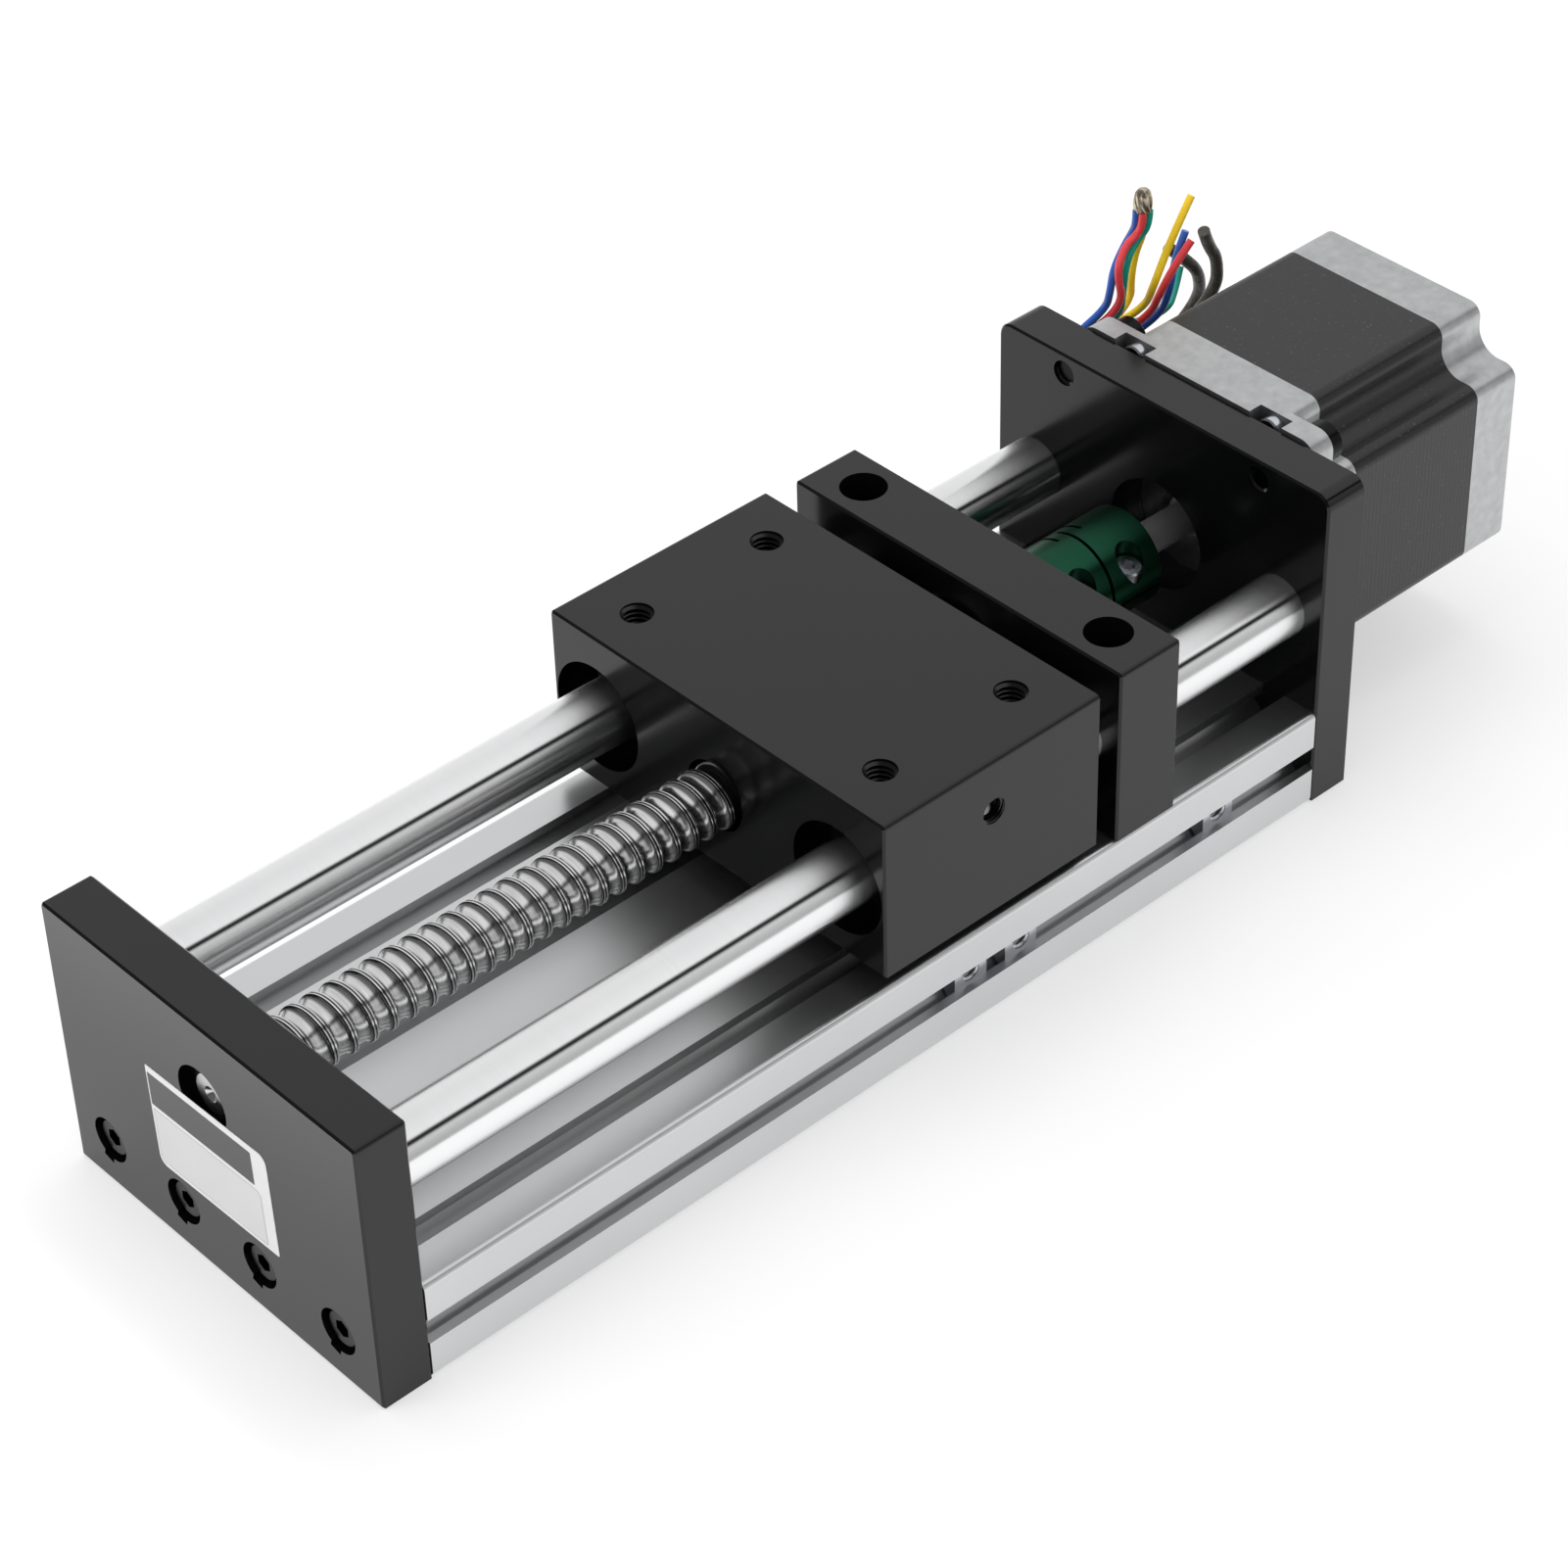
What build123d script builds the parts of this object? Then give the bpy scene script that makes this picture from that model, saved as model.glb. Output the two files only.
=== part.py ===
from build123d import *
import math
import os

# Double shaft linear module, in millimetres.
# X runs along the module towards the motor, Y across it and Z up.
# The origin is under the middle of the whole module, on the surface it stands on.

# Whole module
module_width = 80.0
axis_height = 39.0
shaft_spacing = 60.0
stroke_to_front = 95.5
stroke_to_back = 0.5
front_stop_gap = 1.5
back_stop_gap = 0.5

# Base profile, an extrusion with T-slots on every side
profile_height = 20.0
profile_edge_radius = 1.2
profile_cells = 4
slot_opening = 5.0
slot_lip = 1.8
slot_inner_share = 0.55
slot_inner_step = 1.4
slot_depth = 6.2
profile_web = 1.8

# End plates
front_plate_thickness = 10.0
front_plate_above_axis = 16.0
front_plate_hole_d = 12.3
motor_plate_thickness = 9.5
motor_plate_above_axis = 27.5
motor_plate_corner_radius = 3.0
motor_plate_opening_d = 22.0
plate_corner_radius = 0.8
edge_chamfer = 0.4
shaft_socket_depth = 6.0

# Guide shafts and the carriage that runs on them
shaft_d = 12.0
shaft_end_chamfer = 0.6
carriage_length = 50.0
carriage_below_axis = 15.0
carriage_above_axis = 17.0
carriage_side_wall = 0.75
carriage_screw_hole_d = 13.6
carriage_hole_spacing_x = 30.0
carriage_hole_spacing_y = 60.0
carriage_thread_d = 6.0
carriage_thread_depth = 5.5
carriage_port_d = 5.0
carriage_port_depth = 1.4
oil_hole_d = 3.4
carriage_port_above_axis = 6.4
linear_bearing_d = 21.0
linear_bearing_length = 30.0
linear_bearing_seal_width = 1.5
linear_bearing_wall = 2.0
circlip_thickness = 1.0
circlip_width = 1.6
circlip_groove_depth = 0.4
circlip_gap = 8.0

# Ball screw and its nut
screw_d = 12.0
front_journal_d = 8.0
front_journal_recess = 1.7
centre_drill_d = 3.0
bearing_journal_d = 10.0
coupling_journal_d = 8.0
nut_body_d = 22.0
nut_body_length = 22.0
nut_flange_d = 36.0
nut_flange_thickness = 8.0
nut_flange_flats = 28.0
nut_collar_stand_out = 5.0
nut_bolt_circle_d = 29.0
nut_screw_angles = (30, 150, 210, 330)

# Bearing block, bearings and lock nut
block_shoulder = 2.5
block_shoulder_hole_d = 16.0
block_lock_hole_d = 8.7
block_thread_depth = 8.5
lock_screw_length = 6.0
lock_nut_d = 16.0
lock_nut_thickness = 3.2
lock_nut_slot = 2.5
lock_nut_slot_angles = (0, 90, 180, 270)
support_bearing_d = 22.0
support_bearing_width = 7.0
support_inner_ring_d = 12.1
fixed_bearing_d = 22.0
fixed_bearing_width = 6.0
fixed_inner_ring_d = 13.0
fixed_bearing_count = 2
bearing_outer_wall = 1.5
shield_recess = 0.4
shield_gap = 0.25

# Coupling
coupling_d = 19.0
coupling_length = 25.0
coupling_to_plate = 8.0
coupling_slit = 0.7
coupling_slit_pitch = 2.8
coupling_slit_share = 0.6
coupling_hub_depth = 10.5
coupling_relief_d = 9.0
clamp_screw_inset = 6.6
clamp_screw_offset = 6.2
clamp_pocket_d = 5.6
clamp_seat_height = 2.4
clamp_angle = 100.0
middle_slit_angle = 187.0
outer_slits_turn = 126.0

# Stepper motor
motor_size = 56.4
motor_hole_offset = 23.57
motor_step = 19.0
motor_step_round = 5.0
motor_edge_round = 2.6
motor_ear_thickness = 4.8
motor_ear_corner_radius = 3.5
motor_flange_depth = 11.5
motor_stack_length = 33.0
motor_bell_depth = 10.5
motor_boss_d = 38.1
motor_boss_height = 1.6
motor_boss_hole_d = 12.0
motor_shaft_d = 6.35
motor_bearing_shaft_d = 8.0
motor_rotor_d = 28.8
motor_rotor_end_gap = 1.0
motor_winding_outer_d = 38.0
motor_winding_thickness = 4.0
motor_winding_length = 2.2
motor_front_wall = 1.0
motor_back_wall = 2.0
case_screw_y = 16.4
case_screw_z = 25.2
case_screw_pocket_width = 7.5
case_screw_pocket_depth = 3.0
case_screw_end_wall = 3.0

# Leads and the grommet they leave by
lead_d = 1.5
sleeve_d = 2.4
arc_share = 0.45
soldered_leads = ("lead_left_blue", "lead_left_red", "lead_left_green", "lead_left_yellow")
soldered_tip_d = 3.8
soldered_tip_height = 4.6
grommet_size = 5.6
grommet_height = 8.4
grommet_stand_out = 1.0
grommet_above_axis = 8.0

# Screws: thread, head diameter, head height and key size
m3 = (3.0, 5.5, 3.0, 2.5)
m4 = (4.0, 7.0, 4.0, 3.0)
m5_low_head = (5.0, 7.6, 3.8, 3.0)
case_screw = (3.0, 5.0, 2.2, 2.0)
plate_screw_length = 16.0
plate_screw_recess = 0.8
counterbore_d = 8.5
counterbore_notch_width = 2.5
counterbore_notch_depth = 1.0
counterbore_notch_angle = -75.0
nut_screw_length = 10.0
motor_bolt_recess = 1.0
clamp_screw_length = 9.0
head_chamfer = 0.3

# Nuts in the right side slot, counted from the front of the module
slot_nut_places = (129.7, 141.7, 191.0)
slot_nut_length = 7.5
slot_nut_thickness = 3.0
slot_nut_thread_d = 4.0

# Clearances
seat_gap = 0.02
slide_gap = 0.03
nut_running_gap = 0.05
rotor_gap = 0.1
thread_gap = 0.05
clearance_hole_gap = 0.25
pocket_gap = 0.1
slot_nut_gap = 0.3
small_gap = 0.3

# Sizes that follow from the ones above
shaft_r = shaft_d / 2
shaft_y = shaft_spacing / 2
carriage_width = shaft_spacing + linear_bearing_d + 2 * carriage_side_wall
carriage_bottom = axis_height - carriage_below_axis
carriage_top = axis_height + carriage_above_axis
slot_pitch = module_width / profile_cells
slot_inner_width = slot_inner_share * slot_pitch
slot_middles = [slot_pitch * (i - (profile_cells - 1) / 2) for i in range(profile_cells)]
block_length = block_shoulder + fixed_bearing_count * fixed_bearing_width
nut_recess = m3[2]

# Places along X, from the front of the module back to the end of the motor
overall_length = (
    front_plate_thickness
    + front_stop_gap
    + stroke_to_front
    + carriage_length
    + nut_collar_stand_out
    + stroke_to_back
    + back_stop_gap
    + block_length
    + lock_nut_thickness
    + small_gap
    + coupling_length
    + coupling_to_plate
    + motor_plate_thickness
    + motor_flange_depth
    + motor_stack_length
    + motor_bell_depth
)
module_front = -overall_length / 2
front_plate_back = module_front + front_plate_thickness
carriage_front = front_plate_back + front_stop_gap + stroke_to_front
carriage_back = carriage_front + carriage_length
block_front = carriage_back + nut_collar_stand_out + stroke_to_back + back_stop_gap
block_back = block_front + block_length
lock_nut_back = block_back + lock_nut_thickness
coupling_front = lock_nut_back + small_gap
coupling_back = coupling_front + coupling_length
motor_plate_front = coupling_back + coupling_to_plate
motor_front = motor_plate_front + motor_plate_thickness
ears_back = motor_front + motor_ear_thickness
stack_front = motor_front + motor_flange_depth
stack_back = stack_front + motor_stack_length
motor_back = stack_back + motor_bell_depth
carriage_middle = (carriage_front + carriage_back) / 2
block_middle = (block_front + block_back) / 2
grommet_middle = (ears_back + stack_front) / 2
grommet_face = (
    grommet_middle,
    motor_size / 2 + grommet_stand_out,
    axis_height + grommet_above_axis,
)


def box_between(x0, x1, y0, y1, z0, z1):
    """A box from its lowest to its highest corner."""
    middle = Pos((x0 + x1) / 2, (y0 + y1) / 2, (z0 + z1) / 2)
    return middle * Box(x1 - x0, y1 - y0, z1 - z0)


def bar_x(diameter, x0, x1, y=0.0, z=axis_height):
    """A round bar, or the tool for a round hole, along X."""
    return Pos((x0 + x1) / 2, y, z) * Rot(0, 90, 0) * Cylinder(diameter / 2, x1 - x0)


def bar_z(diameter, x, y, z0, z1):
    """A round bar, or the tool for a round hole, along Z."""
    return Pos(x, y, (z0 + z1) / 2) * Cylinder(diameter / 2, z1 - z0)


def ring_x(outer_d, inner_d, x0, x1, y=0.0, z=axis_height):
    """A ring round an axis along X."""
    return bar_x(outer_d, x0, x1, y, z) - bar_x(inner_d, x0, x1, y, z)


def along_x(face, x0, x1, y=0.0, z=0.0):
    """A face drawn in Y and Z, pulled out from x0 to x1."""
    return Pos(x0, y, z) * extrude(Plane.YZ * face, amount=x1 - x0)


def socket_screw(size, length):
    """A socket head screw: head up from the origin, shank down."""
    thread_d, head_d, head_height, key_size = size
    shank = Pos(0, 0, -length / 2) * Cylinder(thread_d / 2, length)
    head = Pos(0, 0, head_height / 2) * Cylinder(head_d / 2, head_height)
    head = chamfer(head.edges().sort_by(Axis.Z)[-1], head_chamfer)
    key = RegularPolygon(key_size / 2, 6, major_radius=False)
    socket = Pos(0, 0, head_height / 2) * extrude(key, amount=head_height)
    return shank + head - socket


def plate_block(length, width, z0, z1, corner_radius):
    """A plate or block standing across the module, its outer edges broken."""
    solid = box_between(0, length, -width / 2, width / 2, z0, z1)
    long_edges = solid.edges().filter_by(Axis.X).group_by(Axis.Z)[-1]
    solid = fillet(long_edges, corner_radius)
    rims = solid.faces().filter_by(GeomType.PLANE).sort_by(Axis.X)
    return chamfer(rims[0].edges() + rims[-1].edges(), edge_chamfer)


def shielded_bearing(outer_d, bore_d, inner_ring_d, x0, width):
    """The outer and the inner ring of a ball bearing, its shields on the outer."""
    outer = ring_x(outer_d, outer_d - 2 * bearing_outer_wall, x0, x0 + width)
    shield_outer_d = outer_d - 2 * bearing_outer_wall
    shields = ring_x(
        shield_outer_d,
        inner_ring_d + 2 * shield_gap,
        x0 + shield_recess,
        x0 + width - shield_recess,
    )
    inner = ring_x(inner_ring_d, bore_d, x0, x0 + width)
    return outer + shields, inner


# Base profile
def slot_face():
    """The cross-section of one T-slot, its mouth at the origin and its floor below."""
    mouth = slot_opening / 2
    inner = slot_inner_width / 2
    shelf = slot_lip + slot_inner_step
    floor = inner - (slot_depth - shelf)
    right = [
        (mouth, slot_lip),
        (mouth, -slot_lip),
        (inner, -slot_lip),
        (inner, -shelf),
        (floor, -slot_depth),
    ]
    left = [(-y, z) for y, z in reversed(right)]
    return Polygon(*right, *left, align=None)


def chamber_face():
    """The hollow between two cells, a web away from the slots beside it."""
    slant_top = profile_height / 2 - slot_lip - slot_inner_step
    slant_y = slot_pitch / 2 - slot_inner_width / 2
    web_along_y = profile_web * math.sqrt(2)
    top = profile_height / 2 - profile_web
    top_half = slant_y - web_along_y - (top - slant_top)
    core_z = profile_height / 2 - slot_depth
    side_half = top_half + (top - core_z)
    quarter = [(side_half, core_z), (top_half, top)]
    upper = quarter + [(-y, z) for y, z in reversed(quarter)]
    lower = [(-y, -z) for y, z in upper]
    return Polygon(*upper, *lower, align=None)


def base_profile():
    outline = RectangleRounded(module_width, profile_height, profile_edge_radius)
    half = profile_height / 2
    for y in slot_middles:
        outline -= Pos(y, half) * slot_face()
        outline -= Pos(y, -half) * Rot(0, 0, 180) * slot_face()
        outline -= Pos(y, 0) * Circle(m4[0] / 2 + thread_gap)
    outline -= Pos(module_width / 2, 0) * Rot(0, 0, -90) * slot_face()
    outline -= Pos(-module_width / 2, 0) * Rot(0, 0, 90) * slot_face()
    for left, right in zip(slot_middles, slot_middles[1:]):
        outline -= Pos((left + right) / 2, 0) * chamber_face()
    solid = along_x(outline, front_plate_back, motor_plate_front, z=half)
    for y in block_screw_places():
        solid -= bar_z(m4[0] + 2 * clearance_hole_gap, block_middle, y, 0, profile_height)
        solid -= bar_z(m4[1] + 2 * clearance_hole_gap, block_middle, y, 0, slot_depth)
    return solid


def block_screw_places():
    """The two slots nearest the middle, which the block's screws come up through."""
    return sorted(slot_middles, key=abs)[:2]


# Front plate, with the support bearing seated from inside
def front_plate():
    height = axis_height + front_plate_above_axis
    solid = Pos(module_front, 0, 0) * plate_block(
        front_plate_thickness, module_width, 0, height, plate_corner_radius
    )
    solid -= bar_x(front_plate_hole_d, module_front, front_plate_back)
    seat = front_plate_back - support_bearing_width
    solid -= bar_x(support_bearing_d, seat, front_plate_back)
    for y in (-shaft_y, shaft_y):
        socket_floor = front_plate_back - shaft_socket_depth
        solid -= bar_x(shaft_d + 2 * seat_gap, socket_floor, front_plate_back, y)
    for y in slot_middles:
        solid -= plate_screw_hole(module_front, 1, y)
    return solid


def plate_screw_hole(face_x, inwards, y):
    """A counterbored hole from an outer face, with the small notch below it."""
    seat = face_x + inwards * (m4[2] + plate_screw_recess)
    through = face_x + inwards * max(front_plate_thickness, motor_plate_thickness)
    low, high = sorted((face_x, seat))
    z = profile_height / 2
    hole = bar_x(counterbore_d, low, high, y, z)
    notch_reach = counterbore_d / 2 + counterbore_notch_depth
    notch = Pos((low + high) / 2, y, z) * Rot(counterbore_notch_angle, 0, 0) * Pos(
        0, notch_reach / 2, 0
    )
    hole += notch * Box(high - low, notch_reach, counterbore_notch_width)
    low, high = sorted((face_x, through))
    return hole + bar_x(m4[0] + 2 * clearance_hole_gap, low, high, y, z)


def plate_screws(face_x, inwards):
    """The screws that hold one end plate to the profile's cores."""
    seat = face_x + inwards * (m4[2] + plate_screw_recess)
    turn = Rot(0, -90, 0) if inwards > 0 else Rot(0, 90, 0)
    z = profile_height / 2
    screw = turn * socket_screw(m4, plate_screw_length)
    return [Pos(seat, y, z) * screw for y in slot_middles]


# Motor plate
def motor_plate():
    height = axis_height + motor_plate_above_axis
    solid = Pos(motor_plate_front, 0, 0) * plate_block(
        motor_plate_thickness, module_width, 0, height, motor_plate_corner_radius
    )
    solid -= bar_x(motor_plate_opening_d, motor_plate_front, motor_front)
    register = motor_boss_height + pocket_gap
    boss_seat_d = motor_boss_d + 2 * seat_gap
    solid -= bar_x(boss_seat_d, motor_front - register, motor_front)
    for y in (-motor_hole_offset, motor_hole_offset):
        for z in (-motor_hole_offset, motor_hole_offset):
            solid -= bar_x(m5_low_head[0], motor_plate_front, motor_front, y, axis_height + z)
    for y in (-shaft_y, shaft_y):
        socket_floor = motor_plate_front + shaft_socket_depth
        solid -= bar_x(shaft_d + 2 * seat_gap, motor_plate_front, socket_floor, y)
    for y in slot_middles:
        solid -= plate_screw_hole(motor_front, -1, y)
    return solid


# Guide shafts
def guide_shaft(y):
    start = front_plate_back - shaft_socket_depth
    end = motor_plate_front + shaft_socket_depth
    bar = bar_x(shaft_d, start, end, y)
    return chamfer(bar.edges().filter_by(GeomType.CIRCLE), shaft_end_chamfer)


# Bearing block
def bearing_block():
    solid = Pos(block_front, 0, 0) * plate_block(
        block_length, module_width, profile_height, carriage_top, plate_corner_radius
    )
    solid -= bar_x(block_shoulder_hole_d, block_front, block_back)
    solid -= bar_x(fixed_bearing_d, block_front + block_shoulder, block_back)
    for y in (-shaft_y, shaft_y):
        solid -= bar_x(shaft_d + 2 * seat_gap, block_front, block_back, y)
        solid -= bar_z(block_lock_hole_d, block_middle, y, axis_height, carriage_top)
    thread_top = profile_height + block_thread_depth
    for y in block_screw_places():
        thread = m4[0] + 2 * thread_gap
        solid -= bar_z(thread, block_middle, y, profile_height, thread_top)
    return solid


def shaft_lock_screws():
    """The grub screws that press on the shafts from above."""
    screws = []
    bottom = axis_height + shaft_r
    top = bottom + lock_screw_length
    for y in (-shaft_y, shaft_y):
        body = bar_z(block_lock_hole_d - 2 * thread_gap, block_middle, y, bottom, top)
        key = RegularPolygon(m4[3] / 2, 6, major_radius=False)
        socket = Pos(block_middle, y, top - m4[3]) * extrude(key, amount=m4[3])
        screws.append(body - socket)
    return screws


def block_screws():
    """The screws that hold the block down, their heads in the lower slots."""
    length = profile_height - slot_depth + block_thread_depth - small_gap
    screw = Rot(180, 0, 0) * socket_screw(m4, length)
    return [Pos(block_middle, y, slot_depth) * screw for y in block_screw_places()]


# Carriage
def carriage_block():
    solid = Pos(carriage_front, 0, 0) * plate_block(
        carriage_length, carriage_width, carriage_bottom, carriage_top, plate_corner_radius
    )
    for y in (-shaft_y, shaft_y):
        solid -= bar_x(linear_bearing_d + 2 * seat_gap, carriage_front, carriage_back, y)
        for x in circlip_fronts():
            groove = linear_bearing_d + 2 * circlip_groove_depth
            solid -= bar_x(groove, x, x + circlip_thickness, y)
    solid -= bar_x(carriage_screw_hole_d, carriage_front, carriage_back)
    pocket_floor = carriage_back - nut_recess - nut_flange_thickness
    body_end = pocket_floor - nut_body_length - pocket_gap
    solid -= bar_x(nut_body_d + 2 * seat_gap, body_end, carriage_back)
    solid -= flange_shape(pocket_gap, pocket_floor, carriage_back)
    for y, z in nut_screw_places():
        solid -= bar_x(m3[0], pocket_floor - nut_screw_length, pocket_floor, y, z)
    for x in (-carriage_hole_spacing_x / 2, carriage_hole_spacing_x / 2):
        for y in (-carriage_hole_spacing_y / 2, carriage_hole_spacing_y / 2):
            place = carriage_middle + x
            bottom = carriage_top - carriage_thread_depth
            solid -= bar_z(carriage_thread_d, place, y, bottom, carriage_top)
    port_z = axis_height + carriage_port_above_axis
    side = -carriage_width / 2
    for diameter, floor in (
        (carriage_port_d, side + carriage_port_depth),
        (oil_hole_d, -shaft_y),
    ):
        drill = Rot(90, 0, 0) * Cylinder(diameter / 2, floor - side)
        solid -= Pos(carriage_middle, (side + floor) / 2, port_z) * drill
    return solid


def circlip_fronts():
    """Where the two circlips of a bore start, one at each end of its bearing."""
    bearing_front = carriage_middle - linear_bearing_length / 2
    bearing_back = carriage_middle + linear_bearing_length / 2
    return (bearing_front - circlip_thickness, bearing_back)


def linear_bearing(y):
    """The steel sleeve and plastic cage of one linear ball bearing."""
    start = carriage_middle - linear_bearing_length / 2
    end = carriage_middle + linear_bearing_length / 2
    sleeve = ring_x(linear_bearing_d, shaft_d + 2 * slide_gap, start, end, y)
    seal_d = linear_bearing_d - 2 * linear_bearing_wall
    sleeve -= bar_x(seal_d, start, start + linear_bearing_seal_width, y)
    return sleeve - bar_x(seal_d, end - linear_bearing_seal_width, end, y)


def linear_bearing_seals():
    """The four end seals of the linear bearings."""
    start = carriage_middle - linear_bearing_length / 2
    end = carriage_middle + linear_bearing_length / 2
    seal_d = linear_bearing_d - 2 * linear_bearing_wall
    bore_d = shaft_d + 2 * slide_gap
    seals = []
    for y in (-shaft_y, shaft_y):
        seals.append(ring_x(seal_d, bore_d, start, start + linear_bearing_seal_width, y))
        seals.append(ring_x(seal_d, bore_d, end - linear_bearing_seal_width, end, y))
    return seals


def circlips():
    """The four spring rings, each with its gap at the bottom."""
    rings = []
    outer_d = linear_bearing_d + 2 * circlip_groove_depth
    inner_d = outer_d - 2 * circlip_width
    for y in (-shaft_y, shaft_y):
        for x in circlip_fronts():
            ring = ring_x(outer_d, inner_d, x, x + circlip_thickness, y)
            half_gap = circlip_gap / 2
            bottom = axis_height - outer_d
            ring -= box_between(
                x, x + circlip_thickness, y - half_gap, y + half_gap, bottom, axis_height
            )
            rings.append(ring)
    return rings


def flange_shape(gap, x0, x1):
    """The nut's flange, round with two flats, or its pocket when gap is given."""
    disc = Circle(nut_flange_d / 2 + gap)
    flats = Rectangle(nut_flange_d + 4 * gap, nut_flange_flats + 2 * gap)
    return along_x(disc & flats, x0, x1, z=axis_height)


def nut_screw_places():
    """The four flange screws, two each side between the flats."""
    reach = nut_bolt_circle_d / 2
    places = []
    for angle in nut_screw_angles:
        y = reach * math.cos(math.radians(angle))
        z = axis_height + reach * math.sin(math.radians(angle))
        places.append((y, z))
    return places


def ball_nut():
    flange_back = carriage_back - nut_recess
    flange_front = flange_back - nut_flange_thickness
    solid = flange_shape(0, flange_front, flange_back)
    solid += bar_x(nut_body_d, flange_front - nut_body_length, flange_front)
    collar_back = carriage_back + nut_collar_stand_out
    collar = bar_x(nut_body_d, flange_back, collar_back)
    solid += chamfer(collar.edges().sort_by(Axis.X)[-1], edge_chamfer)
    bore_d = screw_d + 2 * nut_running_gap
    solid -= bar_x(bore_d, flange_front - nut_body_length, collar_back)
    for y, z in nut_screw_places():
        hole_d = m3[0] + 2 * clearance_hole_gap
        solid -= bar_x(hole_d, flange_front, flange_back, y, z)
    return solid


def nut_screws():
    flange_back = carriage_back - nut_recess
    length = nut_flange_thickness + nut_screw_length - small_gap
    screw = Rot(0, 90, 0) * socket_screw(m3, length)
    return [Pos(flange_back, y, z) * screw for y, z in nut_screw_places()]


# Ball screw, its bearings and lock nut
def ball_screw():
    """The screw as a bar at its outer diameter, with its turned journals."""
    shoulder = block_front + block_shoulder
    tip = module_front + front_journal_recess
    solid = bar_x(front_journal_d, tip, front_plate_back)
    solid += bar_x(screw_d, front_plate_back, shoulder)
    solid += bar_x(bearing_journal_d, shoulder, lock_nut_back)
    solid += bar_x(coupling_journal_d, lock_nut_back, coupling_front + coupling_hub_depth)
    drill = Cone(0, centre_drill_d / 2, centre_drill_d / 2)
    return solid - Pos(tip + centre_drill_d / 4, 0, axis_height) * Rot(0, -90, 0) * drill


def support_bearing():
    seat = front_plate_back - support_bearing_width
    return shielded_bearing(
        support_bearing_d, front_journal_d, support_inner_ring_d, seat, support_bearing_width
    )


def fixed_bearings():
    outers = []
    inners = []
    for i in range(fixed_bearing_count):
        start = block_front + block_shoulder + i * fixed_bearing_width
        outer, inner = shielded_bearing(
            fixed_bearing_d, bearing_journal_d, fixed_inner_ring_d, start, fixed_bearing_width
        )
        outers.append(outer)
        inners.append(inner)
    return outers, inners


def lock_nut():
    solid = ring_x(lock_nut_d, bearing_journal_d, block_back, lock_nut_back)
    for angle in lock_nut_slot_angles:
        slot = Pos(0, lock_nut_d / 2, 0) * Box(lock_nut_thickness, lock_nut_slot, lock_nut_slot)
        middle = Pos((block_back + lock_nut_back) / 2, 0, axis_height)
        solid -= middle * Rot(angle, 0, 0) * slot
    return solid


# Coupling
def clamp_frame(x):
    """The place of one clamp screw: its axis along local Z, at its seat."""
    centre = Pos(x, 0, axis_height)
    return centre * Rot(clamp_angle - 90, 0, 0) * Pos(0, -clamp_screw_offset, clamp_seat_height)


def clamp_places():
    return (coupling_front + clamp_screw_inset, coupling_back - clamp_screw_inset)


def coupling_body():
    solid = bar_x(coupling_d, coupling_front, coupling_back)
    solid = chamfer(solid.edges().filter_by(GeomType.CIRCLE), edge_chamfer)
    screw_hub = coupling_front + coupling_hub_depth
    motor_hub = coupling_back - coupling_hub_depth
    solid -= bar_x(coupling_journal_d, coupling_front, screw_hub)
    solid -= bar_x(coupling_relief_d, screw_hub, motor_hub)
    solid -= bar_x(motor_shaft_d, motor_hub, coupling_back)
    middle = (coupling_front + coupling_back) / 2
    reach = coupling_d
    cut_face = coupling_d / 2 * coupling_slit_share
    slit = Pos(0, (reach - cut_face) / 2, 0) * Box(coupling_slit, reach + cut_face, 2 * reach)
    for shift, angle in (
        (-coupling_slit_pitch, middle_slit_angle + outer_slits_turn),
        (0, middle_slit_angle),
        (coupling_slit_pitch, middle_slit_angle + outer_slits_turn),
    ):
        solid -= Pos(middle + shift, 0, axis_height) * Rot(angle, 0, 0) * slit
    for x in clamp_places():
        place = clamp_frame(x)
        solid -= place * Pos(0, 0, reach / 2) * Cylinder(clamp_pocket_d / 2, reach)
        solid -= place * Pos(0, 0, -reach / 2) * Cylinder(m3[0] / 2, reach)
        across = Pos(x, 0, axis_height) * Rot(clamp_angle + 90, 0, 0)
        saw_cut = Box(coupling_hub_depth, reach, coupling_slit)
        hub_x = coupling_hub_depth / 2 - clamp_screw_inset
        hub_x = hub_x if x < middle else -hub_x
        solid -= across * Pos(hub_x, reach / 2, 0) * saw_cut
    return solid


def coupling_screws():
    screw = socket_screw(m3, clamp_screw_length)
    return [clamp_frame(x) * screw for x in clamp_places()]


# Stepper motor
def motor_face():
    """The stepped outline that the motor's stack and end castings share."""
    cross = Rectangle(motor_size, 2 * motor_step) + Rectangle(2 * motor_step, motor_size)
    inner = []
    outer = []
    for corner in cross.vertices():
        is_inner = max(abs(corner.X), abs(corner.Y)) < motor_step + edge_chamfer
        (inner if is_inner else outer).append(corner)
    cross = fillet(inner, motor_step_round)
    tips = [
        corner
        for corner in cross.vertices()
        if max(abs(corner.X), abs(corner.Y)) > motor_size / 2 - edge_chamfer
    ]
    return fillet(tips, motor_edge_round)


def case_screw_places():
    places = []
    for y in (-case_screw_y, case_screw_y):
        for side in (-1, 1):
            places.append((y, axis_height + side * case_screw_z, side))
    return places


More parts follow.
